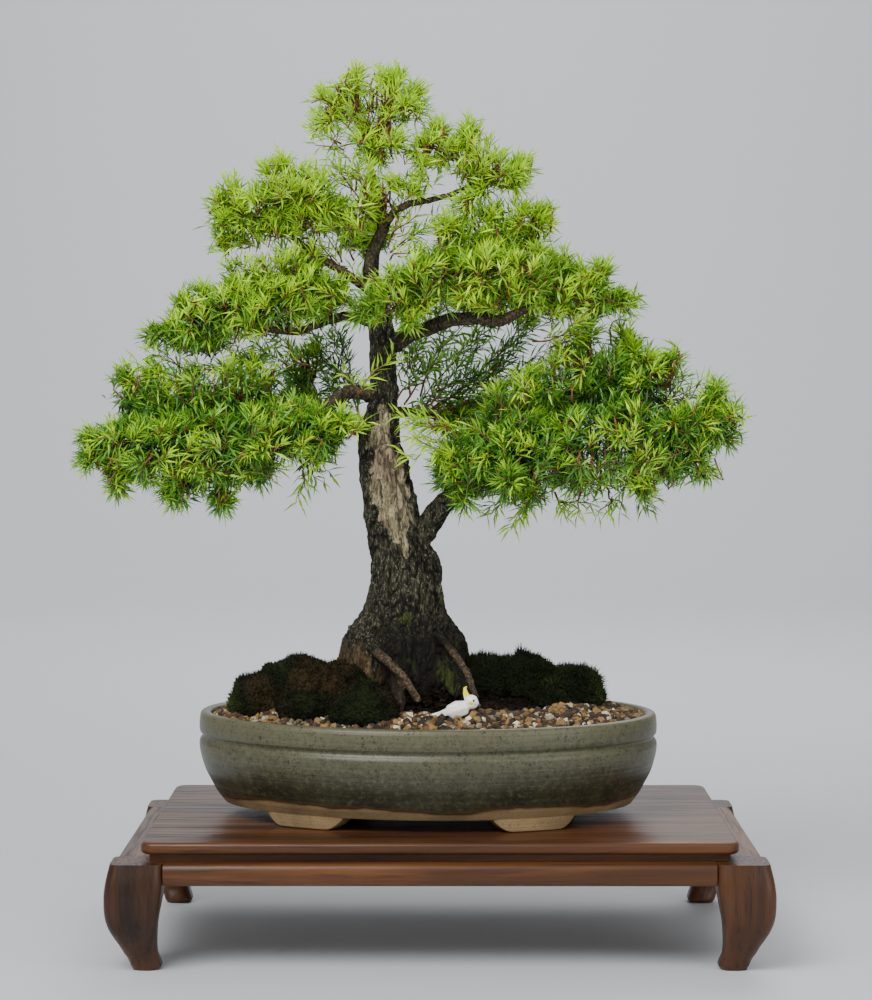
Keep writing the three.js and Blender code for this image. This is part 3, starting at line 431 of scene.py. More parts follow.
class BONSAI_OT_stage(bpy.types.Operator):
    """Makes the camera, the plain floor and the soft lights"""

    bl_idname = "bonsai.stage"
    bl_label = "Stage"

    LIGHTS = (
        # name, place, the point it shines at, width, power
        ("key_light", (-1.1, -2.0, 2.4), (0.0, 0.0, 0.45), 1.7, 108.0),
        ("fill_light", (1.9, -2.1, 1.3), (0.0, 0.0, 0.45), 2.2, 30.0),
        ("back_light", (0.7, 1.9, 2.3), (0.0, 0.0, 0.45), 1.6, 30.0),
        ("wall_light", (0.0, 2.8, 3.6), (0.0, 6.4, 0.9), 2.6, 130.0),
    )
    FLOOR_SIZE = 24.0
    WALL_Y = 6.4
    SWEEP = 2.6  # radius of the curve from the floor up to the wall
    SENSOR_WIDTH = 36.0
    TARGET_SHIFT = -4 * MM  # from the stand's middle
    SKY = (0.86, 0.86, 0.84, 1.0)
    SKY_STRENGTH = 0.50

    def execute(self, context):
        settings = context.scene.bonsai_stage
        view = bpy.data.cameras.new("camera")
        view.lens = settings.lens
        view.sensor_width = self.SENSOR_WIDTH
        camera = bpy.data.objects.new("camera", view)
        eye = Vector((MIDDLE_X, -settings.camera_distance, settings.camera_height))
        target = Vector((MIDDLE_X + self.TARGET_SHIFT, 0.0, settings.target_height))
        camera.location = eye
        camera.rotation_euler = (target - eye).to_track_quat("-Z", "Y").to_euler()
        context.scene.collection.objects.link(camera)
        context.scene.camera = camera

        half = self.FLOOR_SIZE / 2
        turns = np.linspace(0, math.pi / 2, 24)
        section = [(-half, 0.0)]
        foot = self.WALL_Y - self.SWEEP
        section += [(foot + self.SWEEP * math.sin(turn), self.SWEEP * (1 - math.cos(turn)))
                    for turn in turns]
        section += [(self.WALL_Y, half)]
        corners = np.array([[(-half, y, z), (half, y, z)] for y, z in section]).reshape(-1, 3)
        starts = np.arange(0, len(corners) - 2, 2)
        sheet = np.vstack([np.column_stack([starts, starts + 1, starts + 3]),
                           np.column_stack([starts, starts + 3, starts + 2])])
        paint = Finish("floor_paint", 0.6)
        tone = paint.clouds(0.7, detail=2.0)
        pale = tuple(settings.floor_colour)
        colour = paint.blend(tone, shaded(pale, 0.97), pale)
        floor = piece_from("floor", corners, sheet, paint.done(colour))

        for name, place, aim, width, power in self.LIGHTS:
            lamp = bpy.data.lights.new(name, "AREA")
            lamp.size = width
            lamp.energy = power
            light = bpy.data.objects.new(name, lamp)
            light.location = place
            light.rotation_euler = (Vector(aim) - Vector(place)).to_track_quat("-Z", "Y").to_euler()
            context.scene.collection.objects.link(light)

        world = bpy.data.worlds.new("studio")
        world.use_nodes = True
        sky = world.node_tree.nodes["Background"]
        sky.inputs["Color"].default_value = self.SKY
        sky.inputs["Strength"].default_value = self.SKY_STRENGTH
        context.scene.world = world
        return {"FINISHED"}


# Stand


def drawn_out(across, lengthwise, along):
    """The scale of a pattern that is drawn out along one axis: 0, 1 or 2."""
    scale = [across] * 3
    scale[along] = lengthwise
    return scale


def hardwood(name, settings, along, tone):
    """Oiled hardwood whose grain runs along one axis: 0, 1 or 2."""
    wood = Finish(name, 0.38, coat_weight=0.08, coat_roughness=0.22, specular_ior_level=0.3)
    figure = wood.clouds(1.0, detail=5.0, distortion=1.4, place=wood.stretched(drawn_out(16.0, 1.1, along)))
    pores = wood.clouds(1.0, detail=3.0, roughness=0.7, place=wood.stretched(drawn_out(240.0, 9.0, along)))
    broad = wood.clouds(5.0, detail=2.0)
    dark, light = shaded(settings.heartwood, tone), shaded(settings.sapwood, tone)
    middle = tuple((first + second) / 2 for first, second in zip(dark, light))
    colour = wood.ramp(figure, ((0.28, dark), (0.48, middle), (0.60, light), (0.74, middle)))
    colour = wood.blend(wood.band(pores, 0.52, 0.72, 0.0, 0.75), colour, dark)
    colour = wood.blend(wood.band(broad, 0.35, 0.7, 0.0, 0.35), colour, middle)
    wood.relief((pores, 0.25 * MM), (figure, 0.2 * MM))
    return wood.done(colour, wood.band(pores, 0.4, 0.7, 0.34, 0.52))


def rounded_rectangle(half_x, half_y, radius, steps=6):
    """Points round a rectangle with round corners, from the front left counter-clockwise."""
    points = []
    for turn, (side_x, side_y) in enumerate(((-1, -1), (1, -1), (1, 1), (-1, 1))):
        start = math.pi + turn * math.pi / 2
        for step in range(steps + 1):
            angle = start + step / steps * math.pi / 2
            points.append((
                side_x * (half_x - radius) + radius * math.cos(angle),
                side_y * (half_y - radius) + radius * math.sin(angle),
            ))
    return np.array(points)


def board(low, high, corner, nosing, steps=7):
    """A flat board between two corners, with a round edge all the way round."""
    middle = (low + high) / 2
    half = (high - low) / 2
    rings = []
    for step in range(-steps, steps + 1):
        angle = step / steps * math.pi / 2
        inset = nosing * (1 - math.cos(angle))
        flat = rounded_rectangle(half.x - inset, half.y - inset, corner - inset)
        lift = math.sin(angle) * nosing + (half.z - nosing) * (1 if step > 0 else -1 if step < 0 else 0)
        rings.append(np.column_stack([flat + (middle.x, middle.y), np.full(len(flat), middle.z + lift)]))
    return skin(rings)


RAIL_ROUND = 6.0 * MM  # how far the round stands out from the rail's edges
RAIL_FULLNESS = 0.7  # under 1 it is fuller than half an ellipse


def rail(node, sideways, outward, steps=10):
    """A rail of the stand with a full round on its outer face."""
    low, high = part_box(node)
    across, length = (0, 1) if sideways else (1, 0)
    half = (high.z - low.z) / 2
    face = high[across] if outward > 0 else low[across]
    back = low[across] if outward > 0 else high[across]
    section = [(back, low.z), (back, high.z)]
    for step in range(steps + 1):
        angle = math.pi / 2 - step / steps * math.pi
        inset = RAIL_ROUND * (1 - math.cos(angle) ** RAIL_FULLNESS)
        section.append((face - outward * inset, (low.z + high.z) / 2 + half * math.sin(angle)))
    rings = []
    for end in (low[length], high[length]):
        ring = np.zeros((len(section), 3))
        ring[:, length] = end
        ring[:, across] = [place for place, _ in section]
        ring[:, 2] = [height for _, height in section]
        rings.append(ring)
    return skin(rings)


class BONSAI_OT_stand(bpy.types.Operator):
    """Makes the stand's board, waist, rails and curved legs"""

    bl_idname = "bonsai.stand"
    bl_label = "Stand"

    # height, how far the face stands past the rails, width of the section, as on the solids
    LEG = ((104, 1.5, 50), (83, 6, 54), (64, 7, 52), (44, 3.5, 45), (17, -10, 31), (4, -16, 29),
           (0, -17, 26))
    LEG_STATIONS = 44
    LEG_ROUND = 9.0
    TONES_WITH_LEG_SHADE = (0.74, 0.84, 0.50)  # of the wood along x and y, and of the legs, whose low tone is painted shade
    LEG_CREASE = math.radians(50)
    RAIL_WIDTH = 618
    RAIL_DEPTH = 392
    RAIL_CREASE = math.radians(40)
    # side, whether it runs from front to back, and which way its face looks
    SIDES = (("front", False, -1), ("right", True, 1), ("back", False, 1), ("left", True, -1))

    def leg(self, side_x, side_y):
        """A leg of square section with soft corners, that swells at the knee and turns in at the foot."""
        rings = []
        knots = np.array(self.LEG, float)
        heights = np.interp(
            np.linspace(0, 1, self.LEG_STATIONS), np.linspace(0, 1, len(knots)), knots[:, 0])
        line = smooth_line(knots, self.LEG_STATIONS)
        line[:, 1] = np.minimum(line[:, 1], knots[:, 1].max())
        for height, (_, reach, width) in zip(heights, line):
            half = width / 2
            foot = max(0.0, 1 - height / 3.0)
            flat = rounded_rectangle(half - foot, half - foot, min(self.LEG_ROUND, 0.45 * width), 5)
            middle = (self.RAIL_WIDTH / 2 + reach - half, self.RAIL_DEPTH / 2 + reach - half)
            x = (middle[0] + flat[:, 0]) * side_x
            y = (middle[1] + flat[:, 1]) * side_y
            rings.append(np.column_stack([x, y, np.full(len(flat), height)]) * MM + (MIDDLE_X, 0, 0))
        return skin(rings)

    def execute(self, context):
        settings = context.scene.bonsai_stand
        # the legs' wood is made darker than the rest: painted shade
        woods = [hardwood(f"hardwood_{axis}", settings, index, tone)
                 for index, (axis, tone) in enumerate(zip("xyz", self.TONES_WITH_LEG_SHADE))]
        low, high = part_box("stand_panel")
        panel = board(low, high, settings.corner, settings.nosing)
        settle(face_out(piece_from("stand_board", *panel, woods[0])), "stand_wood", "stand_panel")
        for side, sideways, outward in self.SIDES:
            name = f"stand_rail_{side}"
            wood = woods[1 if sideways else 0]
            piece = piece_from(f"{name}_round", *rail(name, sideways, outward), wood)
            piece.data.set_sharp_from_angle(angle=self.RAIL_CREASE)
            settle(face_out(piece), "stand_wood", name)
            dress(f"stand_waist_{side}", wood)
        for depth, side_y in (("front", -1), ("back", 1)):
            for side, side_x in (("left", -1), ("right", 1)):
                name = f"stand_leg_{depth}_{side}"
                piece = piece_from(f"{name}_curved", *self.leg(side_x, side_y), woods[2])
                piece.data.set_sharp_from_angle(angle=self.LEG_CREASE)
                settle(face_out(piece), "stand_wood", name)
        return {"FINISHED"}


# Pot


GLAZE_END = 0.1445  # height of the wavy line where the glaze stops
GLAZE_EDGE = 0.002  # over which it thins out
PAINTED_SHADE_WALL = (0.160, 0.196)  # heights between which the wall turns from dark painted shade, low down, to green
# heights over which the rim band is painted paler: painted light
PAINTED_LIGHT_RIM = (0.206, 0.226)
SPECK = (0.012, 0.010, 0.008)
RUSTY_LINE = (0.10, 0.045, 0.02)


def glazed_stoneware(settings):
    """A speckled ash glaze that stops in a wavy line above bare clay."""
    glaze = Finish("glazed_stoneware", 0.4, coat_weight=0.12, coat_roughness=0.25, specular_ior_level=0.35)
    height = glaze.height()
    wander = glaze.clouds(9.0, detail=3.0)
    line = glaze.sum("ADD", height, glaze.band(wander, 0.3, 0.7, -0.0045, 0.0035))
    covered = glaze.band(line, GLAZE_END, GLAZE_END + GLAZE_EDGE)
    drips = glaze.clouds(1.0, detail=4.0, place=glaze.stretched((26.0, 26.0, 5.0)))
    rings = glaze.clouds(1.0, detail=3.0, place=glaze.stretched((1.2, 1.2, 330.0)))
    green = tuple(settings.glaze)
    pale = shaded(green, 1.6)
    deep = shaded(green, 0.30)
    # painted shade: the wall is darker low down, where it curves in; deep also darkens the real rings and
    # mottle
    colour = glaze.blend(glaze.band(height, *PAINTED_SHADE_WALL), deep, green)
    colour = glaze.blend(glaze.band(drips, 0.38, 0.72, 0.0, 0.30), colour, pale)
    colour = glaze.blend(glaze.band(rings, 0.42, 0.72, 0.0, 0.26), colour, deep)
    mottle = glaze.clouds(190.0, detail=4.0, roughness=0.7)
    colour = glaze.blend(glaze.band(mottle, 0.50, 0.66, 0.0, 0.45), colour, shaded(green, 1.5))
    colour = glaze.blend(glaze.band(mottle, 0.36, 0.48, 0.5, 0.0), colour, deep)
    # painted light: the rim band is made paler
    colour = glaze.blend(glaze.band(height, *PAINTED_LIGHT_RIM, 0.0, 0.4), colour, pale)
    specks = glaze.cells(330.0)
    blots = glaze.cells(120.0)
    patches = glaze.clouds(60.0, detail=2.0)
    speckled = glaze.sum(
        "MULTIPLY", glaze.band(specks, 0.18, 0.34, 1.0, 0.0), glaze.band(patches, 0.40, 0.54))
    blotted = glaze.sum(
        "MULTIPLY", glaze.band(blots, 0.12, 0.24, 1.0, 0.0), glaze.band(patches, 0.46, 0.56))
    speckled = glaze.sum("MAXIMUM", speckled, blotted)
    colour = glaze.blend(glaze.sum("MULTIPLY", speckled, 0.72), colour, SPECK)
    clay = tuple(settings.clay)
    grit = glaze.clouds(420.0, detail=3.0)
    stains = glaze.clouds(24.0, detail=4.0)
    bare = glaze.blend(glaze.band(stains, 0.35, 0.7), clay, shaded(clay, 0.62))
    bare = glaze.blend(glaze.band(grit, 0.5, 0.75, 0.0, 0.6), bare, shaded(clay, 0.45))
    edge = glaze.sum("MULTIPLY", glaze.band(line, GLAZE_END - GLAZE_EDGE, GLAZE_END + 0.0005),
                     glaze.band(line, GLAZE_END + GLAZE_EDGE, GLAZE_END + 0.0045, 1.0, 0.0))
    colour = glaze.blend(covered, bare, colour)
    colour = glaze.blend(glaze.sum("MULTIPLY", edge, 0.55), colour, RUSTY_LINE)
    glaze.relief((rings, 0.5 * MM), (grit, 0.12 * MM), (covered, 0.5 * MM))
    return glaze.done(colour, glaze.band(line, GLAZE_END, GLAZE_END + GLAZE_EDGE, 0.9, 0.40))


class BONSAI_OT_pot(bpy.types.Operator):
    """Makes the oval pot with its rim band, bracket feet and drain holes"""

    bl_idname = "bonsai.pot"
    bl_label = "Pot"

    # offset from the oval and height, in mm
    BODY_CURVE = ((-25, 136), (-17.5, 146), (-11.5, 157), (-6.3, 167), (-3, 177), (-0.8, 186), (0, 194))
    SHOULDER = ((-0.4, 196.6), (-1.6, 198.8), (-3.2, 200.6), (-3.4, 202.2), (-2.6, 203.6), (-1.2, 204.8))
    BAND = ((-0.5, 206.5), (-0.2, 210), (-0.2, 214), (-0.6, 219), (-1.2, 222.6))
    RIM = ((-2.2, 224.6), (-4, 225.7), (-6.5, 226), (-9.5, 225.7), (-11.4, 224.4), (-12.2, 222.4))
    INSIDE = ((-13.4, 212), (-14.5, 203), (-16, 178), (-24, 158), (-36, 147))
    SIDES = 168
    FOOT_ANGLES = (55.9, 124.1, -55.9, -124.1)
    FOOT_SPAN = 13.2  # degrees from the middle of a foot to its end
    FOOT_LOW, FOOT_TOP, FOOT_DEPTH = 123, 138, 26
    DRAINS = (-92, 92)
    DRAIN_RADIUS = 12
    DRAIN_SIDES = 32
    DRILL_HEIGHTS = (128, 152)
    POT_CREASE = math.radians(45)
    FOOT_CREASE = math.radians(35)

    def oval(self, settings, angles, offset, height):
        """Points beside the oval, at angles in radians: offset and height in mm."""
        x = (settings.half_length + offset * MM) * np.cos(angles)
        y = (settings.half_width + offset * MM) * np.sin(angles)
        cosine, sine = math.cos(settings.yaw), math.sin(settings.yaw)
        height = np.broadcast_to(np.asarray(height, float), x.shape) * MM
        middle = MIDDLE_X + settings.middle_x
        return np.column_stack([middle + x * cosine - y * sine, x * sine + y * cosine, height])

    def foot(self, settings, middle):
        """A bracket foot that follows the oval, with hollow flaring ends."""
        rings = []
        for along in np.linspace(-1, 1, 29):
            flare = max(0.0, (abs(along) - 0.6) / 0.4)
            low = self.FOOT_LOW + 11.5 * flare ** 1.7
            angle = np.array([math.radians(middle + along * self.FOOT_SPAN)])
            section = ((-24.6, self.FOOT_TOP), (-25.6, low + 3), (-26.2, low + 0.8), (-27.4, low),
                       (-25 - self.FOOT_DEPTH + 2, low), (-25 - self.FOOT_DEPTH, self.FOOT_TOP))
            rings.append([self.oval(settings, angle, offset, height)[0] for offset, height in section])
        return skin(rings)

    def execute(self, context):
        settings = context.scene.bonsai_pot
        finish = glazed_stoneware(settings)
        profile = np.vstack([
            smooth_line(self.BODY_CURVE, 22), self.SHOULDER, self.BAND, self.RIM,
            smooth_line(self.INSIDE, 12),
        ])
        angles = np.arange(self.SIDES) / self.SIDES * 2 * math.pi
        rings = [self.oval(settings, angles, offset, height) for offset, height in profile]
        pot = face_out(piece_from("oval_pot", *skin(rings), finish))
        turn = np.linspace(0, 2 * math.pi, self.DRAIN_SIDES, endpoint=False)
        for place in self.DRAINS:
            middle = (MIDDLE_X + settings.middle_x + place * MM * math.cos(settings.yaw),
                      place * MM * math.sin(settings.yaw))
            circle = np.column_stack([np.cos(turn), np.sin(turn)]) * self.DRAIN_RADIUS * MM + middle
            ends = [np.column_stack([circle, np.full(self.DRAIN_SIDES, height * MM)])
                    for height in self.DRILL_HEIGHTS]
            drill = face_out(piece_from("drill", *skin(ends), finish))
            cut = pot.modifiers.new("drain", "BOOLEAN")
            cut.operation = "DIFFERENCE"
            cut.solver = "EXACT"
            cut.object = drill
            bpy.context.view_layer.objects.active = pot
            with bpy.context.temp_override(object=pot, active_object=pot):
                bpy.ops.object.modifier_apply(modifier=cut.name)
            bpy.data.objects.remove(drill)
        feet = face_out(piece_from(
            "pot_feet", *together([self.foot(settings, middle) for middle in self.FOOT_ANGLES]), finish))
        pot.data.set_sharp_from_angle(angle=self.POT_CREASE)
        feet.data.set_sharp_from_angle(angle=self.FOOT_CREASE)
        settle(pot, "pot_stoneware", "pot")
        settle(feet, "pot_stoneware")
        return {"FINISHED"}


# Natural surfaces


def edges_of(triangles):
    """Each edge once, as two corners."""
    pairs = np.vstack([triangles[:, [0, 1]], triangles[:, [1, 2]], triangles[:, [2, 0]]])
    return np.unique(np.sort(pairs, axis=1), axis=0)


def summed(values, index, count):
    """The rows of values added up by their index."""
    return np.stack([np.bincount(index, weights=column, minlength=count) for column in values.T], 1)


def normals_of(points, triangles):
    """The normal at each point."""
    faces = face_normals(points, triangles)
    total = summed(np.vstack([faces] * 3), triangles.T.ravel(), len(points))
    return total / (np.linalg.norm(total, axis=1)[:, None] + 1e-15)


def remeshed(node, voxel):
    """The surface of a CAD node as points and even triangles."""
    points, triangles = node_mesh(node)
    source = piece_from("coarse", points, triangles, None)
    even = source.modifiers.new("even", "REMESH")
    even.mode = "VOXEL"
    even.voxel_size = voxel
    mesh = source.evaluated_get(bpy.context.evaluated_depsgraph_get()).to_mesh()
    mesh.calc_loop_triangles()
    places = np.empty(len(mesh.vertices) * 3)
    mesh.vertices.foreach_get("co", places)
    corners = np.empty(len(mesh.loop_triangles) * 3, int)
    mesh.loop_triangles.foreach_get("vertices", corners)
    bpy.data.objects.remove(source)
    return places.reshape(-1, 3), corners.reshape(-1, 3)


def smoothed(points, triangles, rounds, share):
    """Rounds off facets; each round gives back what it shrank. share is 0 to 1 for each point."""
    edges = edges_of(triangles)
    count = len(points)
    degree = np.bincount(edges.ravel(), minlength=count)[:, None]
    share = np.broadcast_to(share, count)[:, None]
    for _ in range(rounds):
        for strength in (0.62, -0.64):
            around = summed(points[edges[:, 1]], edges[:, 0], count)
            around += summed(points[edges[:, 0]], edges[:, 1], count)
            points = points + strength * share * (around / degree - points)
    return points


def noise_at(points, scale, seed):
    """Smooth noise of about -1 to 1; scale holds how many lumps a metre there are along each axis."""
    spots = points * np.asarray(scale, float) + seed
    return np.array([noise.noise(spot) for spot in spots.tolist()])


def inside_cad(points):
    """Points kept within the box of the CAD model."""
    low, high = (np.array(corner) for corner in CAD_BOX)
    return np.clip(points, low + 0.1 * MM, high - 0.1 * MM)


# Timber


# Each pair of colours is the dark and the light end of a blend
OCHRE_ROOT = (0.050, 0.028, 0.012), (0.21, 0.135, 0.060)
YOUNG_BARK = (0.050, 0.032, 0.018), (0.17, 0.125, 0.075)
ROSY_WOOD = (0.10, 0.062, 0.040), (0.42, 0.31, 0.22)
YOUNG_CRACK = (0.018, 0.012, 0.008)
SPLIT = (0.030, 0.022, 0.014)
MOSS_SHADE = (0.012, 0.020, 0.006)


def bark_finish(settings):
    """Fissured bark that a bare strip, tan roots, smooth young wood and moss take the place of, darkened at
    the trunk's foot as painted shade.
    """
    bark = Finish("bark", 0.9, specular_ior_level=0.25)
    fissures = bark.clouds(1.0, detail=7.0, roughness=0.68, distortion=0.7,
                           place=bark.stretched((150.0, 150.0, 42.0)))
    scales = bark.clouds(1.0, detail=4.0, roughness=0.75, place=bark.stretched((520.0, 520.0, 210.0)))
    patches = bark.clouds(32.0, detail=5.0)
    flecks = bark.clouds(420.0, detail=3.0)
    cracks = bark.value("crack")
    dark, pale = tuple(settings.bark_dark), tuple(settings.bark_pale)
    colour = bark.ramp(fissures, ((0.38, dark), (0.49, shaded(pale, 0.45)), (0.62, pale)))
    colour = bark.blend(bark.band(patches, 0.40, 0.62, 0.0, 0.7), colour, dark)
    colour = bark.blend(bark.band(scales, 0.53, 0.62, 0.0, 0.85), colour, shaded(pale, 2.9))
    colour = bark.blend(bark.band(scales, 0.36, 0.46, 0.8, 0.0), colour, shaded(dark, 0.5))
    colour = bark.blend(bark.band(cracks, 0.02, 0.16, 0.85, 0.0), colour, shaded(dark, 0.4))
    ochre = bark.blend(bark.band(fissures, 0.42, 0.6), *OCHRE_ROOT)
    colour = bark.blend(bark.sum("MULTIPLY", bark.value("tan"), 0.7), colour, ochre)
    # painted shade: the bark is darker at the foot of the trunk
    colour = bark.blend(bark.sum("MULTIPLY", bark.value("gloom"), 0.9), colour, shaded(dark, 0.5))
    young = bark.blend(bark.band(flecks, 0.4, 0.65), *YOUNG_BARK)
    young = bark.blend(bark.band(fissures, 0.36, 0.50, 0.8, 0.0), young, YOUNG_CRACK)
    colour = bark.blend(bark.value("slim"), colour, young)
    strands = bark.clouds(1.0, detail=7.0, roughness=0.7, distortion=0.9,
                          place=bark.stretched((170.0, 170.0, 36.0), turn=(0, math.radians(12), 0)))
    bare = tuple(settings.bare_wood)
    bleached = bark.ramp(strands, (
        (0.36, shaded(bare, 0.12)), (0.45, shaded(bare, 0.6)), (0.55, bare), (0.66, shaded(bare, 2.1)),
    ))
    rosy = bark.blend(bark.band(strands, 0.42, 0.6), *ROSY_WOOD)
    bleached = bark.blend(bark.band(patches, 0.46, 0.60, 0.0, 0.75), bleached, rosy)
    bleached = bark.blend(bark.band(scales, 0.38, 0.47, 0.9, 0.0), bleached, shaded(bare, 0.10))
    bleached = bark.blend(bark.band(cracks, 0.0, 0.10, 0.8, 0.0), bleached, SPLIT)
    ragged = bark.sum("ADD", bark.value("bare"), bark.band(fissures, 0.32, 0.68, -0.45, 0.45))
    colour = bark.blend(bark.band(ragged, 0.48, 0.72), colour, bleached)
    fuzz = bark.clouds(520.0, detail=4.0)
    green = bark.blend(fuzz, MOSS_SHADE, tuple(settings.lichen))
    grown = bark.sum("MULTIPLY", bark.value("mossy"), bark.band(patches, 0.40, 0.56))
    grown = bark.sum("MULTIPLY", grown, bark.band(fissures, 0.40, 0.56))
    colour = bark.blend(grown, colour, green)
    bark.relief((fissures, 4.2 * MM), (scales, 2.2 * MM), (fuzz, 0.5 * MM))
    return bark.done(colour)


class BONSAI_OT_timber(bpy.types.Operator):
    """Makes the trunk, roots and branches with fissured bark, a bare strip and patches of moss"""

    bl_idname = "bonsai.timber"
    bl_label = "Timber"

    VOXEL = 1.75 * MM
    ROUNDS = 45
    # height, x from the stand's middle, half width: the bare strip on the front of the trunk
    STRIP = ((380, -33, 1), (390, -34, 7), (412, -40, 12), (437, -46.5, 17), (462, -52, 19), (487, -55, 16),
             (512, -57, 11), (534, -57, 3))
    # x from the stand's middle, height, radius: mossy spots on the front
    SPOTS = ((-6, 346, 15), (-30, 321, 9), (5, 272, 15), (-66, 250, 18), (16, 246, 14))
    # the same for the roots that are rubbed to a tan colour
    TAN = ((-88, 272, 24), (-70, 252, 20), (22, 290, 16), (-50, 262, 12), (0, 262, 12))
    # lumps a metre along x, y and z, and a shift of the pattern
    WANDER = (75, 75, 45), 3.1
    TREMOR = (210, 210, 110), 8.3
    MOSS_CLUMPS = (38, 38, 30), 7.7
    CRACKS = (150, 150, 42), 0.0
    PLATES = (70, 70, 34), 11.3
    SWELLS = (26, 26, 16), 23.9
    GRAIN = (330, 330, 160), 5.5
    FLAKES = (170, 170, 55), 31.9
    RIDGES = (240, 240, 40), 17.7
    LIP_WIDTH = 9  # of the bark's rolled edge round the bare strip
    RAY_LENGTH = 0.25
    LEAST_GIRTH = 0.004

    def girths(self, points, normals):
        """How thick the wood is under each point."""
        coarse, triangles = node_mesh("tree_wood")
        tree = BVHTree.FromPolygons(coarse.tolist(), triangles.tolist())
        starts = (points - normals * 0.5 * MM).tolist()
        widths = []
        for start, way in zip(starts, (-normals).tolist()):
            distance = tree.ray_cast(start, way, self.RAY_LENGTH)[3]
            widths.append(self.LEAST_GIRTH if distance is None else distance)
        return np.array(widths)

    def spotted(self, spots, x, height, strays, inner, outer):
        """1 in the middle of each spot and 0 outside it, with a rim that strays."""
        shares = []
        for spot_x, spot_height, radius in spots:
            away = np.hypot(x - spot_x, height - spot_height) + strays
            shares.append(1 - smoothstep(away, inner * radius, outer * radius))
        return np.max(shares, axis=0)

    def execute(self, context):
        points, triangles = remeshed("tree_wood", self.VOXEL)
        girth = self.girths(points, normals_of(points, triangles))
        girth = smoothed(np.column_stack([girth] * 3), triangles, 6, 1.0)[:, 0]
        points = smoothed(points, triangles, self.ROUNDS, 0.12 + 0.88 * smoothstep(girth, 0.006, 0.03))
        normals = normals_of(points, triangles)
        x, height = (points[:, 0] - MIDDLE_X) / MM, points[:, 2] / MM
        strip = np.array(self.STRIP)
        wobble = 8 * noise_at(points, *self.WANDER) + 5 * noise_at(points, *self.TREMOR)
        away = np.abs(x + wobble - np.interp(height, strip[:, 0], strip[:, 1]))
        width = np.interp(height, strip[:, 0], strip[:, 2], left=0, right=0)
        front = smoothstep(-normals[:, 1], -0.05, 0.35)
        bare = (1 - smoothstep(away, width * 0.7, width * 1.05 + 0.4)) * front * (width > 0.5)
        # painted shade: darker below 350 mm, near the middle of the trunk
        gloom = smoothstep(350 - height, 0, 60) * (1 - smoothstep(np.abs(x + 14), 34, 60))
        mossy = smoothstep(noise_at(points, *self.MOSS_CLUMPS), 0.22, 0.42)
        mossy *= smoothstep(330 - height, 0, 90) * 0.8
        mossy = np.maximum(mossy, self.spotted(self.SPOTS, x, height, 6 * wobble / 5, 0.6, 1.0) * front)
        mossy *= (1 - bare) * smoothstep(girth, 0.010, 0.022)
        tan = self.spotted(self.TAN, x, height, wobble, 0.5, 1.2) * front
        thick = smoothstep(girth, 0.007, 0.05)
        cracks = np.abs(noise_at(points, *self.CRACKS))
        plates, swells, fine, flakes, ridges = (
            noise_at(points, *pattern)
            for pattern in (self.PLATES, self.SWELLS, self.GRAIN, self.FLAKES, self.RIDGES))
        depth = fine + 1.5 * plates - 2.2 * (1 - smoothstep(cracks, 0.0, 0.15))
        depth += 1.3 * smoothstep(flakes, -0.08, 0.08) + ridges
        flat = -2.2 + 1.5 * smoothstep(flakes, -0.05, 0.05) + 0.8 * fine + 0.9 * ridges
        lip = smoothstep(away, width * 0.85, width * 1.1 + 0.4)
        lip *= 1 - smoothstep(away, width * 1.1, width * 1.1 + self.LIP_WIDTH)
        depth += 2.0 * lip * front * (width > 2)
        depth = (depth * (1 - bare) + flat * bare) * (0.2 + 0.8 * thick) + 3.2 * swells * thick
        points = points + normals * depth[:, None] * MM
        slim = 1 - smoothstep(girth, 0.007, 0.018)
        slim *= 1 - smoothstep(height, 284, 300) * (1 - smoothstep(height, 330, 350))
        piece = piece_from("timber", inside_cad(points), triangles, bark_finish(context.scene.bonsai_tree),
                           slim=slim, bare=bare, mossy=mossy, gloom=gloom, crack=cracks, tan=tan)
        settle(piece, "bark", "tree_wood")
        return {"FINISHED"}


# Foliage

# One leaf as long as x from 0 to 1, as wide as y and as thick as z: a keeled blade that bends over
LEAF_POINTS = np.array([
    (0.0, 0.0, 0.0), (0.46, -0.5, 0.2), (0.46, 0.5, 0.2), (0.46, 0.0, -0.3), (1.0, 0.0, -0.9),
])
LEAF_TRIANGLES = np.array([(0, 2, 1), (0, 3, 2), (0, 1, 3), (1, 2, 4), (2, 3, 4), (3, 1, 4)])
GOLDEN_TURN = math.radians(137.5)
SUNLIT_LEAF = (0.60, 0.90, 0.010)
TWIG_SHADES = ((0.3, (0.085, 0.026, 0.012)), (0.55, (0.24, 0.082, 0.034)), (0.75, (0.34, 0.17, 0.08)))


def leaf_finish(settings):
    """Leaves from black-green to yellow-green by the age that each point carries, which also holds painted
    shade and light, with a painted sunlit tint high up.
    """
    leaf = Finish("leaves", 0.42)
    age = leaf.value("fresh")
    patches = leaf.clouds(60.0, detail=3.0)
    age = leaf.sum("ADD", age, leaf.band(patches, 0.3, 0.7, -0.10, 0.10))
    fresh, green = tuple(settings.fresh_leaf), tuple(settings.leaf)
    deep = shaded(green, 0.2)
    between = tuple((a + b) / 2 for a, b in zip(green, fresh))
    colour = leaf.ramp(age, ((0.02, deep), (0.34, green), (0.66, between), (0.95, fresh)))
    colour = leaf.blend(leaf.band(leaf.height(), 0.54, 0.74, 0.0, 0.26), colour, SUNLIT_LEAF)
    grain = leaf.clouds(900.0, detail=2.0)
    colour = leaf.blend(leaf.band(grain, 0.4, 0.7, 0.0, 0.3), colour, deep)
    leaf.relief((grain, 0.1 * MM))
    return leaf.done(colour, leaf.band(grain, 0.3, 0.7, 0.36, 0.55))


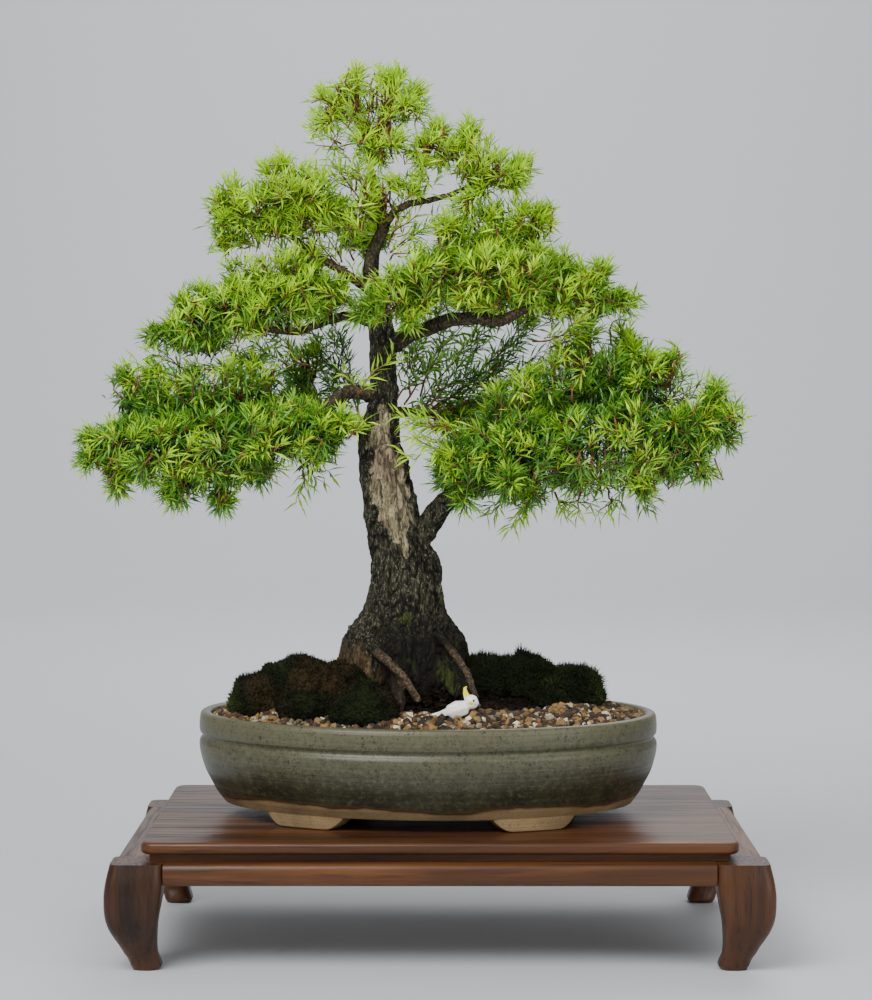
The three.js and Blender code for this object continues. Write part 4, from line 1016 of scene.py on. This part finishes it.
def twig_finish():
    """Slim red-brown twigs with fine rings."""
    twig = Finish("twigs", 0.7)
    rings = twig.clouds(1.0, detail=3.0, place=twig.stretched((300.0, 300.0, 90.0)))
    twig.relief((rings, 0.3 * MM))
    return twig.done(twig.ramp(rings, TWIG_SHADES))


def spiral(way, spread, start=0.0):
    """The ways of leaves that stand round a shoot, each spread from it by its own angle."""
    count = len(spread)
    basis = axes_from(np.tile(way, (count, 1)), np.arange(count) * GOLDEN_TURN + start)
    return way * np.cos(spread)[:, None] + basis[:, 1] * np.sin(spread)[:, None]


class BONSAI_OT_foliage(bpy.types.Operator):
    """Makes the leaves and twigs of each bunch, and the open shoots between the bunches"""

    bl_idname = "bonsai.foliage"
    bl_label = "Foliage"

    SHARP = 0.78  # how far a leaf tip stands from its neighbours, to their mean distance
    FILL_AREA = 17.0  # square millimetres of a bunch's surface for each leaf between the shoots
    STRAY_AREA = 430.0  # the same for each shoot that strays from between the modelled leaves
    REAR = 0.05  # bunches behind this y stand in the tree's own shade and need lighter leaves
    # the share of shoots and of leaves between them in the open bunches
    AIRY = {
        "foliage_crown": (0.62, 0.10), "foliage_centre": (0.6, 0.2), "foliage_right_crown": (0.8, 0.3),
        "foliage_left_high": (0.85, 0.6), "foliage_rear_mid": (0.6, 0.5), "foliage_rear_left": (0.6, 0.3),
        "foliage_rear_high": (0.7, 0.5), "foliage_rear_right": (0.8, 0.5),
    }
    CLUMPS = (42, 42, 42), 3.3  # lumps a metre along x, y and z, and a shift of the pattern
    OPEN = -0.16  # clumps of leaves are left out where the noise is under this
    LIT = (0.54, 0.70)  # heights between which the bunches turn to mostly new leaves and are painted lighter as light

    def shoots(self, points, triangles):
        """The tips of the modelled leaves, with the way each points and its length."""
        edges = edges_of(triangles)
        both = np.vstack([edges, edges[:, ::-1]])
        count = len(points)
        degree = np.bincount(both[:, 0], minlength=count)
        middle = summed(points[both[:, 1]], both[:, 0], count) / degree[:, None]
        lengths = np.linalg.norm(points[both[:, 1]] - points[both[:, 0]], axis=1)
        mean = np.bincount(both[:, 0], weights=lengths, minlength=count) / degree
        ways = points - middle
        length = np.linalg.norm(ways, axis=1)
        tips = (length > self.SHARP * mean) & (length > 3.5 * MM)
        return points[tips], ways[tips] / length[tips][:, None], length[tips]

    def spine(self, points, x):
        """The middle of the bunch at each x, where its twigs come from."""
        bins = np.linspace(points[:, 0].min(), points[:, 0].max(), 9)
        index = np.clip(np.digitize(points[:, 0], bins) - 1, 0, 7)
        middle = np.array([points[index == one].mean(0) if (index == one).any() else points.mean(0)
                           for one in range(8)])
        return np.column_stack([x] + [np.interp(x, middle[:, 0], middle[:, axis]) for axis in (1, 2)])

    def bunch(self, node, rng):
        """Leaves as origins, ways, lengths and ages, and twigs as tubes, for one bunch."""
        points, triangles = node_mesh(node)
        low, high = points.min(0), points.max(0)
        shade = -0.08 if (low[1] + high[1]) / 2 > self.REAR else 0.0
        area = np.linalg.norm(face_normals(points, triangles), axis=1).sum() / 2 / (MM * MM)
        tips, ways, reach = self.shoots(points, triangles)
        places, normals = spread_over(points, triangles, int(area / self.STRAY_AREA), rng)
        stray = normals * 0.8 + rng.normal(0, 0.4, normals.shape) + (0, 0, 0.3)
        stray /= np.linalg.norm(stray, axis=1)[:, None]
        long = rng.uniform(12, 24, len(places)) * MM
        tips = np.vstack([tips, places + stray * (long - 6 * MM)[:, None]])
        ways, reach = np.vstack([ways, stray]), np.concatenate([reach, long])
        shoot_share, leaf_share = self.AIRY.get(node, (1.0, 1.0))
        kept = rng.random(len(tips)) < shoot_share
        tips, ways, reach = tips[kept], ways[kept], reach[kept]
        origins, directions, lengths, ages, twigs = [], [], [], [], []
        for tip, way, long in zip(tips, ways, reach):
            start = tip - way * min(long * 1.25 + 8 * MM, 24 * MM)
            end = tip - way * 7 * MM
            bend = rng.normal(0, 1.4, 3) * MM
            root = self.spine(points, np.array([start[0] * 0.86 + (low[0] + high[0]) * 0.07]))[0]
            root = start + (root - start) * min(1.0, 24 * MM / (np.linalg.norm(root - start) + 1e-9))
            knots = [root, (root + start) / 2 + bend * 2, start, (start + end) / 2 + bend, end]
            twigs.append(tube(smooth_line(knots, 5), np.linspace(1.15, 0.5, 5) * MM, 3))
            count = int(rng.integers(10, 14))
            turn = rng.random() * 6
            share = (np.arange(count) + 0.5) / count
            out = spiral(way, np.radians(56 - 36 * share + rng.normal(0, 8, count)), turn)
            out[:, 2] += 0.2 + 0.3 * smoothstep(tip[2], *self.LIT)
            bow = bend * (share * (1 - share))[:, None] * 3
            origins.append(start + (end - start) * share[:, None] + bow)
            directions.append(out)
            size = np.clip(0.62 + long / (36 * MM), 0.62, 1.1)
            lengths.append((rng.uniform(15, 22, count) - 7 * share) * size * MM)
            level = (tip[2] - low[2]) / (high[2] - low[2])
            lit = smoothstep(tip[2], *self.LIT)
            new = rng.random() < 0.18 + 0.26 * level + 0.20 * way[2] + 0.34 * lit
            # painted light: leaves are lighter on shoots in the lit heights and in the rear bunches
            age = rng.uniform(0.80, 1.0) if new else rng.uniform(0.20, 0.54) + 0.10 * lit + 0.06 * level
            ages.append(age + 0.34 * (share - 0.5) - shade + rng.normal(0, 0.06, count))
        places, normals = spread_over(points, triangles, int(leaf_share * area / self.FILL_AREA), rng)
        kept = noise_at(places, *self.CLUMPS) > self.OPEN
        places, normals = places[kept], normals[kept]
        count = len(places)
        depth = rng.random(count) ** 1.5
        centre = self.spine(points, places[:, 0])
        origins.append(places + (centre - places) * (0.18 + 0.60 * depth)[:, None])
        out = normals * 0.8 + rng.normal(0, 0.55, (count, 3))
        out[:, 2] += 0.35
        directions.append(out)
        lengths.append(rng.uniform(12, 20, count) * MM)
        level = (places[:, 2] - low[2]) / (high[2] - low[2])
        # painted shade and light: leaves deep in the bunch are darker, those facing up lighter, and those
        # of the rear bunches lighter
        age = 0.30 + 0.14 * level + 0.10 * normals[:, 2] - 0.46 * depth - shade
        ages.append(age + rng.normal(0, 0.13, count))
        return tuple(np.concatenate(rows) for rows in (origins, directions, lengths, ages)) + (twigs,)

    # start and end of each thin shoot behind the trunk: x from the stand's middle, y, z
    SPARSE = (
        ((-36, 30, 532), (-18, 84, 598)), ((-30, 34, 540), (8, 92, 606)), ((-20, 44, 540), (40, 96, 600)),
        ((-14, 56, 530), (58, 90, 568)), ((-8, 58, 526), (78, 96, 596)), ((-20, 40, 524), (22, 84, 572)),
        ((-40, 26, 520), (-2, 74, 552)), ((-14, 52, 524), (88, 88, 574)),
        ((-44, 22, 536), (-26, 66, 590)), ((-10, 54, 522), (50, 80, 538)),
        ((-84, 36, 508), (-98, 78, 600)), ((-80, 36, 510), (-122, 80, 588)),
        ((-88, 40, 508), (-150, 84, 560)), ((-84, 38, 508), (-112, 70, 556)),
    )
    # the same for new shoots that lean out before the trunk
    LEANING = (
        ((24, -34, 498), (-34, -58, 518)), ((20, -38, 490), (-26, -60, 502)),
        ((22, -34, 504), (-16, -56, 528)), ((26, -30, 486), (0, -52, 478)),
        ((-84, -30, 540), (-66, -48, 566)), ((-90, -34, 500), (-72, -52, 516)),
    )
    # the same for the open growth between the bunches
    BETWEEN = (
        ((-78, 0, 735), (-108, -6, 775)), ((-84, 4, 745), (-96, 10, 785)),
        ((-72, 0, 740), (-88, -4, 768)), ((-92, 0, 668), (-128, -8, 694)),
        ((-98, 0, 674), (-112, -10, 700)), ((-86, 2, 676), (-86, -8, 706)),
        ((-52, 0, 690), (-22, -8, 722)), ((-48, 0, 700), (-36, -6, 738)), ((-50, 2, 684), (-14, 6, 706)),
        ((-50, 0, 676), (-24, -8, 690)), ((-130, -2, 572), (-166, -8, 592)),
        ((-150, 0, 570), (-184, -6, 590)), ((-170, -4, 566), (-204, -8, 584)),
        ((-250, -4, 566), (-282, -8, 582)), ((-262, 0, 560), (-290, -2, 572)),
        ((222, -4, 530), (246, -8, 560)), ((236, 0, 528), (258, -4, 552)),
        ((92, -4, 596), (130, -8, 606)), ((110, 0, 590), (146, -4, 608)),
        ((-96, 0, 786), (-124, -4, 790)), ((-98, 0, 792), (-120, -2, 802)),
        ((66, -20, 448), (54, -28, 426)), ((90, -20, 448), (84, -30, 424)),
        ((114, -20, 446), (122, -30, 424)), ((140, -20, 446), (136, -30, 424)),
        ((168, -20, 448), (178, -28, 426)), ((194, -16, 450), (204, -24, 430)),
        ((-128, -14, 480), (-116, -20, 456)), ((-140, -14, 478), (-134, -24, 454)),
        ((-190, -4, 690), (-216, -10, 684)), ((-62, 0, 634), (-86, -12, 656)),
        ((-60, 0, 628), (-94, -8, 634)),
    )
    SIDE_SHOOTS = (0.3, 0.45, 0.6, 0.72, 0.86)  # where the side shoots leave it
    LEAF_STEP = 2.6  # millimetres along a thin shoot from leaf to leaf

    def sparse(self, rng):
        """Thin open shoots with long leaves, dark behind the trunk and new before it."""
        origins, directions, lengths, ages, twigs = [], [], [], [], []
        runs = []
        for group, sides, young in ((self.SPARSE, 5, (0.20, 0.50)), (self.LEANING, 2, (0.62, 1.0)),
                                    (self.BETWEEN, 2, (0.34, 0.92))):
            for first, last in group:
                start, end = (np.array(place) * MM + (MIDDLE_X, 0, 0) for place in (first, last))
                runs.append((start, end, 1.3, young))
                for share in self.SIDE_SHOOTS[:sides]:
                    way = (end - start) * 0.45 + rng.normal(0, 15, 3) * (1.0, 0.7, 0.7) * MM
                    knot = start + (end - start) * share
                    runs.append((knot, knot + way, 0.8, young))
        for start, end, thick, young in runs:
            bend = rng.normal(0, 0.08, (2, 3)) * np.linalg.norm(end - start)
            third = (end - start) / 3
            line = smooth_line([start, start + third + bend[0], end - third + bend[1], end], 8)
            twigs.append(tube(line, np.linspace(thick, 0.4, 8) * MM, 3))
            count = max(5, int(np.linalg.norm(end - start) / (self.LEAF_STEP * MM)))
            share = np.linspace(0.18, 1.0, count)
            places = np.column_stack([np.interp(share, np.linspace(0, 1, 8), column) for column in line.T])
            way = (end - start) / np.linalg.norm(end - start)
            origins.append(places)
            directions.append(spiral(way, np.radians(rng.uniform(30, 62, count))))
            lengths.append(rng.uniform(15, 23, count) * MM)
            ages.append(rng.uniform(*young) + rng.normal(0, 0.08, count))
        return tuple(np.concatenate(rows) for rows in (origins, directions, lengths, ages)) + (twigs,)

    def execute(self, context):
        leaves, twiggy = leaf_finish(context.scene.bonsai_tree), twig_finish()
        nodes = [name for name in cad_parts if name.startswith("foliage_")]
        for seed, node in enumerate([*nodes, None]):
            rng = np.random.default_rng(900 + seed)
            name = node or "foliage_sparse"
            origins, ways, lengths, ages, twigs = self.bunch(node, rng) if node else self.sparse(rng)
            count = len(origins)
            axes = axes_from(ways, rng.normal(0, 0.5, count) + math.pi)
            axes[axes[:, 2, 2] < 0, 1:] *= -1
            widths = np.clip(lengths * rng.uniform(0.115, 0.16, count), 1.5 * MM, 2.8 * MM)
            sizes = np.column_stack([lengths, widths, lengths * rng.uniform(0.06, 0.16, count)])
            points, triangles = scatter((LEAF_POINTS, LEAF_TRIANGLES), origins, axes, sizes)
            fresh = np.repeat(ages, len(LEAF_POINTS)) + np.tile((LEAF_POINTS[:, 0] - 0.5) * 0.16, count)
            points = inside_cad(points)
            piece = piece_from(f"{name}_leaves", points, triangles, leaves, smooth=False, fresh=fresh)
            settle(piece, "foliage", *([node] if node else []))
            stems = piece_from(f"{name}_twigs", *together(twigs), twiggy)
            settle(stems, "foliage")
        return {"FINISHED"}


# Ground in the pot


SOIL_SHADES = ((0.3, (0.003, 0.002, 0.001)), (0.55, (0.008, 0.005, 0.003)), (0.78, (0.040, 0.026, 0.012)))
GRIT_SHADES = (
    (0.0, (0.005, 0.004, 0.002)), (0.34, (0.030, 0.016, 0.006)), (0.56, (0.085, 0.044, 0.012)),
    (0.78, (0.30, 0.172, 0.046)), (0.90, (0.14, 0.115, 0.07)), (1.0, (0.86, 0.78, 0.58)),
)
GRIT_DUST = (0.06, 0.036, 0.016)
BROWN_MOSS = (0.034, 0.021, 0.008)
BLACK_MOSS = (0.006, 0.008, 0.003)
# painted shade in the gaps of the moss
MOSS_GAP_SHADE = (0.004, 0.007, 0.002)


def soil_finish():
    """Black crumbly soil."""
    soil = Finish("soil", 0.95, specular_ior_level=0.1)
    crumbs = soil.cells(230.0)
    tone = soil.clouds(90.0, detail=5.0)
    soil.relief((crumbs, 2.0 * MM), (tone, 1.0 * MM))
    return soil.done(soil.ramp(tone, SOIL_SHADES))


def grit_finish():
    """Mixed stone grains, each with its own shade; the bed under them, which has none, takes the darkest
    colour as painted shade.
    """
    grit = Finish("grit", 0.8)
    tone = grit.clouds(260.0, detail=4.0)
    colour = grit.ramp(grit.value("shade"), GRIT_SHADES)
    colour = grit.blend(grit.band(tone, 0.4, 0.75, 0.0, 0.4), colour, GRIT_DUST)
    grit.relief((tone, 0.6 * MM))
    return grit.done(colour)


def moss_finish(settings):
    """Short moss, brown where it is dry, green where it is new and brighter at the banks' ends as painted
    highlight, with painted shade in the gaps.
    """
    moss = Finish("moss", 0.95, specular_ior_level=0.15)
    fuzz = moss.clouds(520.0, detail=3.0)
    colour = moss.ramp(moss.value("fresh"), (
        (0.0, BROWN_MOSS), (0.24, BLACK_MOSS), (0.6, tuple(settings.moss)),
        (1.0, shaded(settings.moss, 3.8)),
    ))
    # painted shade: dark specks in the gaps of the moss
    colour = moss.blend(moss.band(fuzz, 0.4, 0.7, 0.0, 0.6), colour, MOSS_GAP_SHADE)
    clumps = moss.cells(260.0)
    moss.relief((clumps, 2.2 * MM), (fuzz, 1.4 * MM))
    return moss.done(colour)


def grain_shape():
    """A rounded grain with flat faces, 1 from its middle to each corner."""
    shape = bmesh.new()
    bmesh.ops.create_icosphere(shape, subdivisions=1, radius=1.0)
    points = np.array([vertex.co[:] for vertex in shape.verts])
    triangles = np.array([[vertex.index for vertex in face.verts] for face in shape.faces])
    shape.free()
    return points, triangles


class BONSAI_OT_ground(bpy.types.Operator):
    """Makes the grains of gravel, the moss cushions and the soil"""

    bl_idname = "bonsai.ground"
    bl_label = "Ground"

    GRAINS = 3200
    GRAIN_HALF = 4.9 * MM
    BIRD_MARGIN = 0.010  # the place without grains is this much shorter than the bird at each end
    CRUMBS = 4600
    OPEN_SOIL = 0.214  # soil that is higher than this lies open round the trunk
    TRUNK_FOOT = (-37 * MM, 0.0)  # from the stand's middle
    MOSS_VOXEL = 2.2 * MM
    MOSS_ROUNDS = 30
    # lumps a metre along x, y and z, and a shift of the pattern, for the banks' form, tufts and colour
    SWELLS = (24, 24, 24), 4.4
    LUMPS = (62, 62, 62), 9.1
    BUMPS = (150, 150, 150), 2.2
    TUFT_LENGTHS = (90, 90, 90), 6.6
    PATCHES = (26, 26, 26), 8.8
    # how many tufts each bank has, and how tall they are against the left one's
    TUFTS = {"moss_left": (12500, 1.0), "moss_right": (10500, 1.6), "moss_rear": (5000, 1.2)}
    SCREEN_SHADES = (0.010, 0.018, 0.014), (0.030, 0.048, 0.038)

    def grains(self, rng):
        """Grains over the top of the bed, but for the bird's place."""
        points, triangles = node_mesh("gravel")
        up = facing_up(points, triangles, 0.35)
        places, _ = spread_over(points, triangles[up], self.GRAINS, rng)
        low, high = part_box("cockatoo_figurine")
        under = (places[:, 0] > low.x + self.BIRD_MARGIN) & (places[:, 0] < high.x - self.BIRD_MARGIN)
        under &= (places[:, 1] > low.y) & (places[:, 1] < high.y)
        places = places[~under]
        count = len(places)
        places[:, 2] += rng.uniform(-0.9, 1.1, count) * MM
        ways = rng.normal(size=(count, 3))
        sizes = self.GRAIN_HALF * rng.uniform(0.55, 1.15, (count, 1)) * rng.uniform(0.7, 1.15, (count, 3))
        grain_points, grain_triangles = grain_shape()
        axes = axes_from(ways, rng.random(count) * 6)
        points, triangles = scatter((grain_points, grain_triangles), places, axes, sizes)
        points += rng.normal(0, 0.45 * MM, points.shape)
        return points, triangles, np.repeat(rng.random(count), len(grain_points))

    def crumbs(self, rng):
        """Crumbs of soil round the foot of the trunk."""
        points, triangles = node_mesh("soil")
        up = facing_up(points, triangles, 0.5)
        open_top = up & (points[triangles][:, :, 2].min(axis=1) > self.OPEN_SOIL)
        places, _ = spread_over(points, triangles[open_top], self.CRUMBS, rng)
        count = len(places)
        trunk_x, trunk_y = self.TRUNK_FOOT
        away = np.hypot(places[:, 0] - MIDDLE_X - trunk_x, places[:, 1] - trunk_y)
        near = 1 - smoothstep(away, 0.055, 0.11)
        places[:, 2] += near * rng.uniform(0, 14, count) * MM
        ways = rng.normal(size=(count, 3))
        sizes = rng.uniform(1.0, 3.8, (count, 1)) * rng.uniform(0.6, 1.2, (count, 3))
        sizes = sizes * (1 + 0.5 * near)[:, None] * MM
        corners = np.array([(1, 0, 0), (-1, 0, 0), (0, 1, 0), (0, -1, 0), (0, 0, 1), (0, 0, -1)], float)
        faces = np.array([(x, y, z) if (x + y + z) % 2 else (y, x, z)
                          for x in (0, 1) for y in (2, 3) for z in (4, 5)])
        axes = axes_from(ways, rng.random(count) * 6)
        points, triangles = scatter((corners, faces), places, axes, sizes)
        return points + rng.normal(0, 0.4 * MM, points.shape), triangles

    def cushion(self, node, rng):
        """A moss bank: its rounded body with low lumps, and short tufts all over it."""
        tuft_count, tallness = self.TUFTS[node]
        points, triangles = remeshed(node, self.MOSS_VOXEL)
        points = smoothed(points, triangles, self.MOSS_ROUNDS, 1.0)
        normals = normals_of(points, triangles)
        lumps = 6.0 * noise_at(points, *self.SWELLS) + 3.2 * noise_at(points, *self.LUMPS)
        lumps += 1.6 * noise_at(points, *self.BUMPS)
        points = points + normals * (lumps - 0.6)[:, None] * MM
        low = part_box(node)[0]
        points[:, 2] = np.maximum(points[:, 2], low.z)
        places, ways = spread_over(points, triangles, tuft_count, rng)
        above = ways[:, 2] > -0.15
        places, ways = places[above], ways[above]
        count = len(places)
        ways = ways + rng.normal(0, 0.35, (count, 3))
        ways[:, 2] += 0.3
        turn = np.arange(3) * 2 * math.pi / 3
        cone = np.vstack([np.column_stack([np.full(3, -0.2), np.cos(turn), np.sin(turn)]), (1.0, 0.0, 0.0)])
        sides = np.array([(0, 2, 1), (0, 1, 3), (1, 2, 3), (2, 0, 3)])
        tall = rng.uniform(1.6, 4.6, count) * (1 + 0.8 * noise_at(places, *self.TUFT_LENGTHS)) * MM
        tall *= tallness
        sizes = np.column_stack([tall, *[rng.uniform(0.5, 0.9, count) * MM] * 2])
        tufts = scatter((cone, sides), places, axes_from(ways, rng.random(count) * 6), sizes)
        body = self.freshness_and_highlight(node, points) - 0.12
        tips = np.repeat(self.freshness_and_highlight(node, places) + rng.normal(0, 0.12, count), 4)
        tips = tips + np.tile([-0.12, -0.12, -0.12, 0.14], count)
        return together([(points, triangles), tufts]) + (np.concatenate([body, tips]),)

    def freshness_and_highlight(self, node, points):
        """Brown at 0, black-green at 0.24 and bright green at 1; the bright ends of the banks are painted
        highlights.
        """
        patches = noise_at(points, *self.PATCHES)
        low, high = points.min(0), points.max(0)
        across = (points[:, 0] - low[0]) / (high[0] - low[0])
        fresh = 0.34 + 0.50 * patches
        if node == "moss_left":
            brown = 1 - smoothstep(np.abs(across - 0.55), 0.10, 0.26)
            brown *= smoothstep(points[:, 2], 0.25, 0.262)
            # painted highlight: the left end of the left bank is brighter
            return fresh * (1 - brown) + 0.06 * brown + 0.5 * (1 - smoothstep(across, 0.0, 0.14))
        # painted highlight: the right end of the other banks is brighter
        return np.maximum(fresh - 0.06, 0.36) + 0.40 * smoothstep(across, 0.80, 1.0)

    def execute(self, context):
        rng = np.random.default_rng(77)
        grit = grit_finish()
        points, triangles, shade = self.grains(rng)
        settle(piece_from("gravel_grains", points, triangles, grit, smooth=False, shade=shade), "gravel")
        soil = soil_finish()
        settle(piece_from("soil_crumbs", *self.crumbs(rng), soil, smooth=False), "soil")
        moss = moss_finish(context.scene.bonsai_tree)
        for node in self.TUFTS:
            points, triangles, fresh = self.cushion(node, rng)
            points = inside_cad(points)
            settle(piece_from(f"{node}_tufts", points, triangles, moss, fresh=fresh), "moss", node)
        screen = Finish("screen_plastic", 0.55)
        plastic = screen.done(screen.blend(screen.clouds(300.0), *self.SCREEN_SHADES))
        # the gravel node carries no shade value, so the grit paints it in its darkest colour: painted shade
        # in the gaps between the grains
        for node, finish in (("soil", soil), ("gravel", grit), ("drain_screen_left", plastic),
                             ("drain_screen_right", plastic)):
            dress(node, finish)
        return {"FINISHED"}


# Figurine


class BONSAI_OT_figurine(bpy.types.Operator):
    """Makes the small china bird with its yellow crest"""

    bl_idname = "bonsai.figurine"
    bl_label = "Figurine"

    # from the middle of the bird, in mm: x, y, z, radius
    CREST = ((9, 0, 30, 6.5), (11, 0, 24, 4.6))
    CHEEKS = ((14.5, -6.4, 15.6, 2.6), (14.5, 6.4, 15.6, 2.6))
    BEAK = ((24, 0, 11.5, 4.2),)
    EYES = ((17.6, -5.6, 18.2), (17.6, 5.6, 18.2))
    EYE_RADIUS = 1.25 * MM
    VOXEL = 0.7 * MM
    ROUNDS = 40
    WHITES = (0.97, 0.96, 0.92), (0.86, 0.84, 0.78)
    CREST_YELLOW = (0.92, 0.78, 0.02)
    BEAK_GREY = (0.07, 0.065, 0.06)
    EYE_BLACKS = (0.004, 0.004, 0.004), (0.02, 0.018, 0.016)

    def near(self, local, spots):
        """1 in the middle of each spot and 0 outside it."""
        shares = [1 - smoothstep(np.linalg.norm(local - spot[:3], axis=1), 0.75 * spot[3], 1.1 * spot[3])
                  for spot in spots]
        return np.max(shares, axis=0)

    def execute(self, context):
        low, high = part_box("cockatoo_figurine")
        middle = np.array([low.x + 23 * MM, (low.y + high.y) / 2, low.z - 0.6 * MM])
        points, triangles = remeshed("cockatoo_figurine", self.VOXEL)
        points = smoothed(points, triangles, self.ROUNDS, 1.0)
        local = (points - middle) / MM
        china = Finish("china", 0.25, coat_weight=0.6, coat_roughness=0.1)
        crackle = china.clouds(260.0, detail=3.0)
        feathers = china.cells(300.0, place=china.stretched((0.5, 1.0, 1.0)))
        colour = china.blend(china.band(crackle, 0.4, 0.7), *self.WHITES)
        colour = china.blend(china.value("yellow"), colour, self.CREST_YELLOW)
        colour = china.blend(china.value("grey"), colour, self.BEAK_GREY)
        china.relief((feathers, 0.35 * MM), (crackle, 0.2 * MM))
        yellow = np.maximum(self.near(local, self.CREST), self.near(local, self.CHEEKS))
        bird = piece_from("china_bird", points, triangles, china.done(colour), yellow=yellow,
                          grey=self.near(local, self.BEAK))
        settle(bird, "figurine", "cockatoo_figurine")
        black = Finish("eye_paint", 0.15)
        glint = black.clouds(900.0)
        places = middle + np.array(self.EYES) * MM
        axes = axes_from(np.array([(0, -1.0, 0.2), (0, 1.0, 0.2)]), np.zeros(2))
        sizes = np.full((2, 3), self.EYE_RADIUS) * (0.8, 1.0, 1.0)
        eyes = scatter(grain_shape(), places, axes, sizes)
        paint = black.done(black.blend(glint, *self.EYE_BLACKS))
        settle(piece_from("bird_eyes", *eyes, paint), "figurine")
        return {"FINISHED"}


# Panel and registration

PARTS = (
    BONSAI_OT_stage, BONSAI_OT_stand, BONSAI_OT_pot, BONSAI_OT_ground, BONSAI_OT_timber,
    BONSAI_OT_foliage, BONSAI_OT_figurine,
)
GROUPS = {
    "bonsai_stage": StageSettings,
    "bonsai_stand": StandSettings,
    "bonsai_pot": PotSettings,
    "bonsai_tree": TreeSettings,
}


class BONSAI_PT_sidebar(bpy.types.Panel):
    """Lists the bonsai's parts and their settings"""

    bl_label = "Bonsai"
    bl_idname = "BONSAI_PT_sidebar"
    bl_space_type = "VIEW_3D"
    bl_region_type = "UI"
    bl_category = "Bonsai"

    def draw(self, context):
        for name, group in GROUPS.items():
            box = self.layout.box()
            for key in group.__annotations__:
                box.prop(getattr(context.scene, name), key)
        for part in PARTS:
            self.layout.operator(part.bl_idname)


def register():
    for group in GROUPS.values():
        bpy.utils.register_class(group)
    for part in PARTS:
        bpy.utils.register_class(part)
    bpy.utils.register_class(BONSAI_PT_sidebar)
    for name, group in GROUPS.items():
        setattr(bpy.types.Scene, name, bpy.props.PointerProperty(type=group))


def unregister():
    for name in GROUPS:
        delattr(bpy.types.Scene, name)
    bpy.utils.unregister_class(BONSAI_PT_sidebar)
    for part in reversed(PARTS):
        bpy.utils.unregister_class(part)
    for group in GROUPS.values():
        bpy.utils.unregister_class(group)


def main():
    register()
    for part in PARTS:
        group, operator = part.bl_idname.split(".")
        getattr(getattr(bpy.ops, group), operator)()


if __name__ == "__main__":
    main()
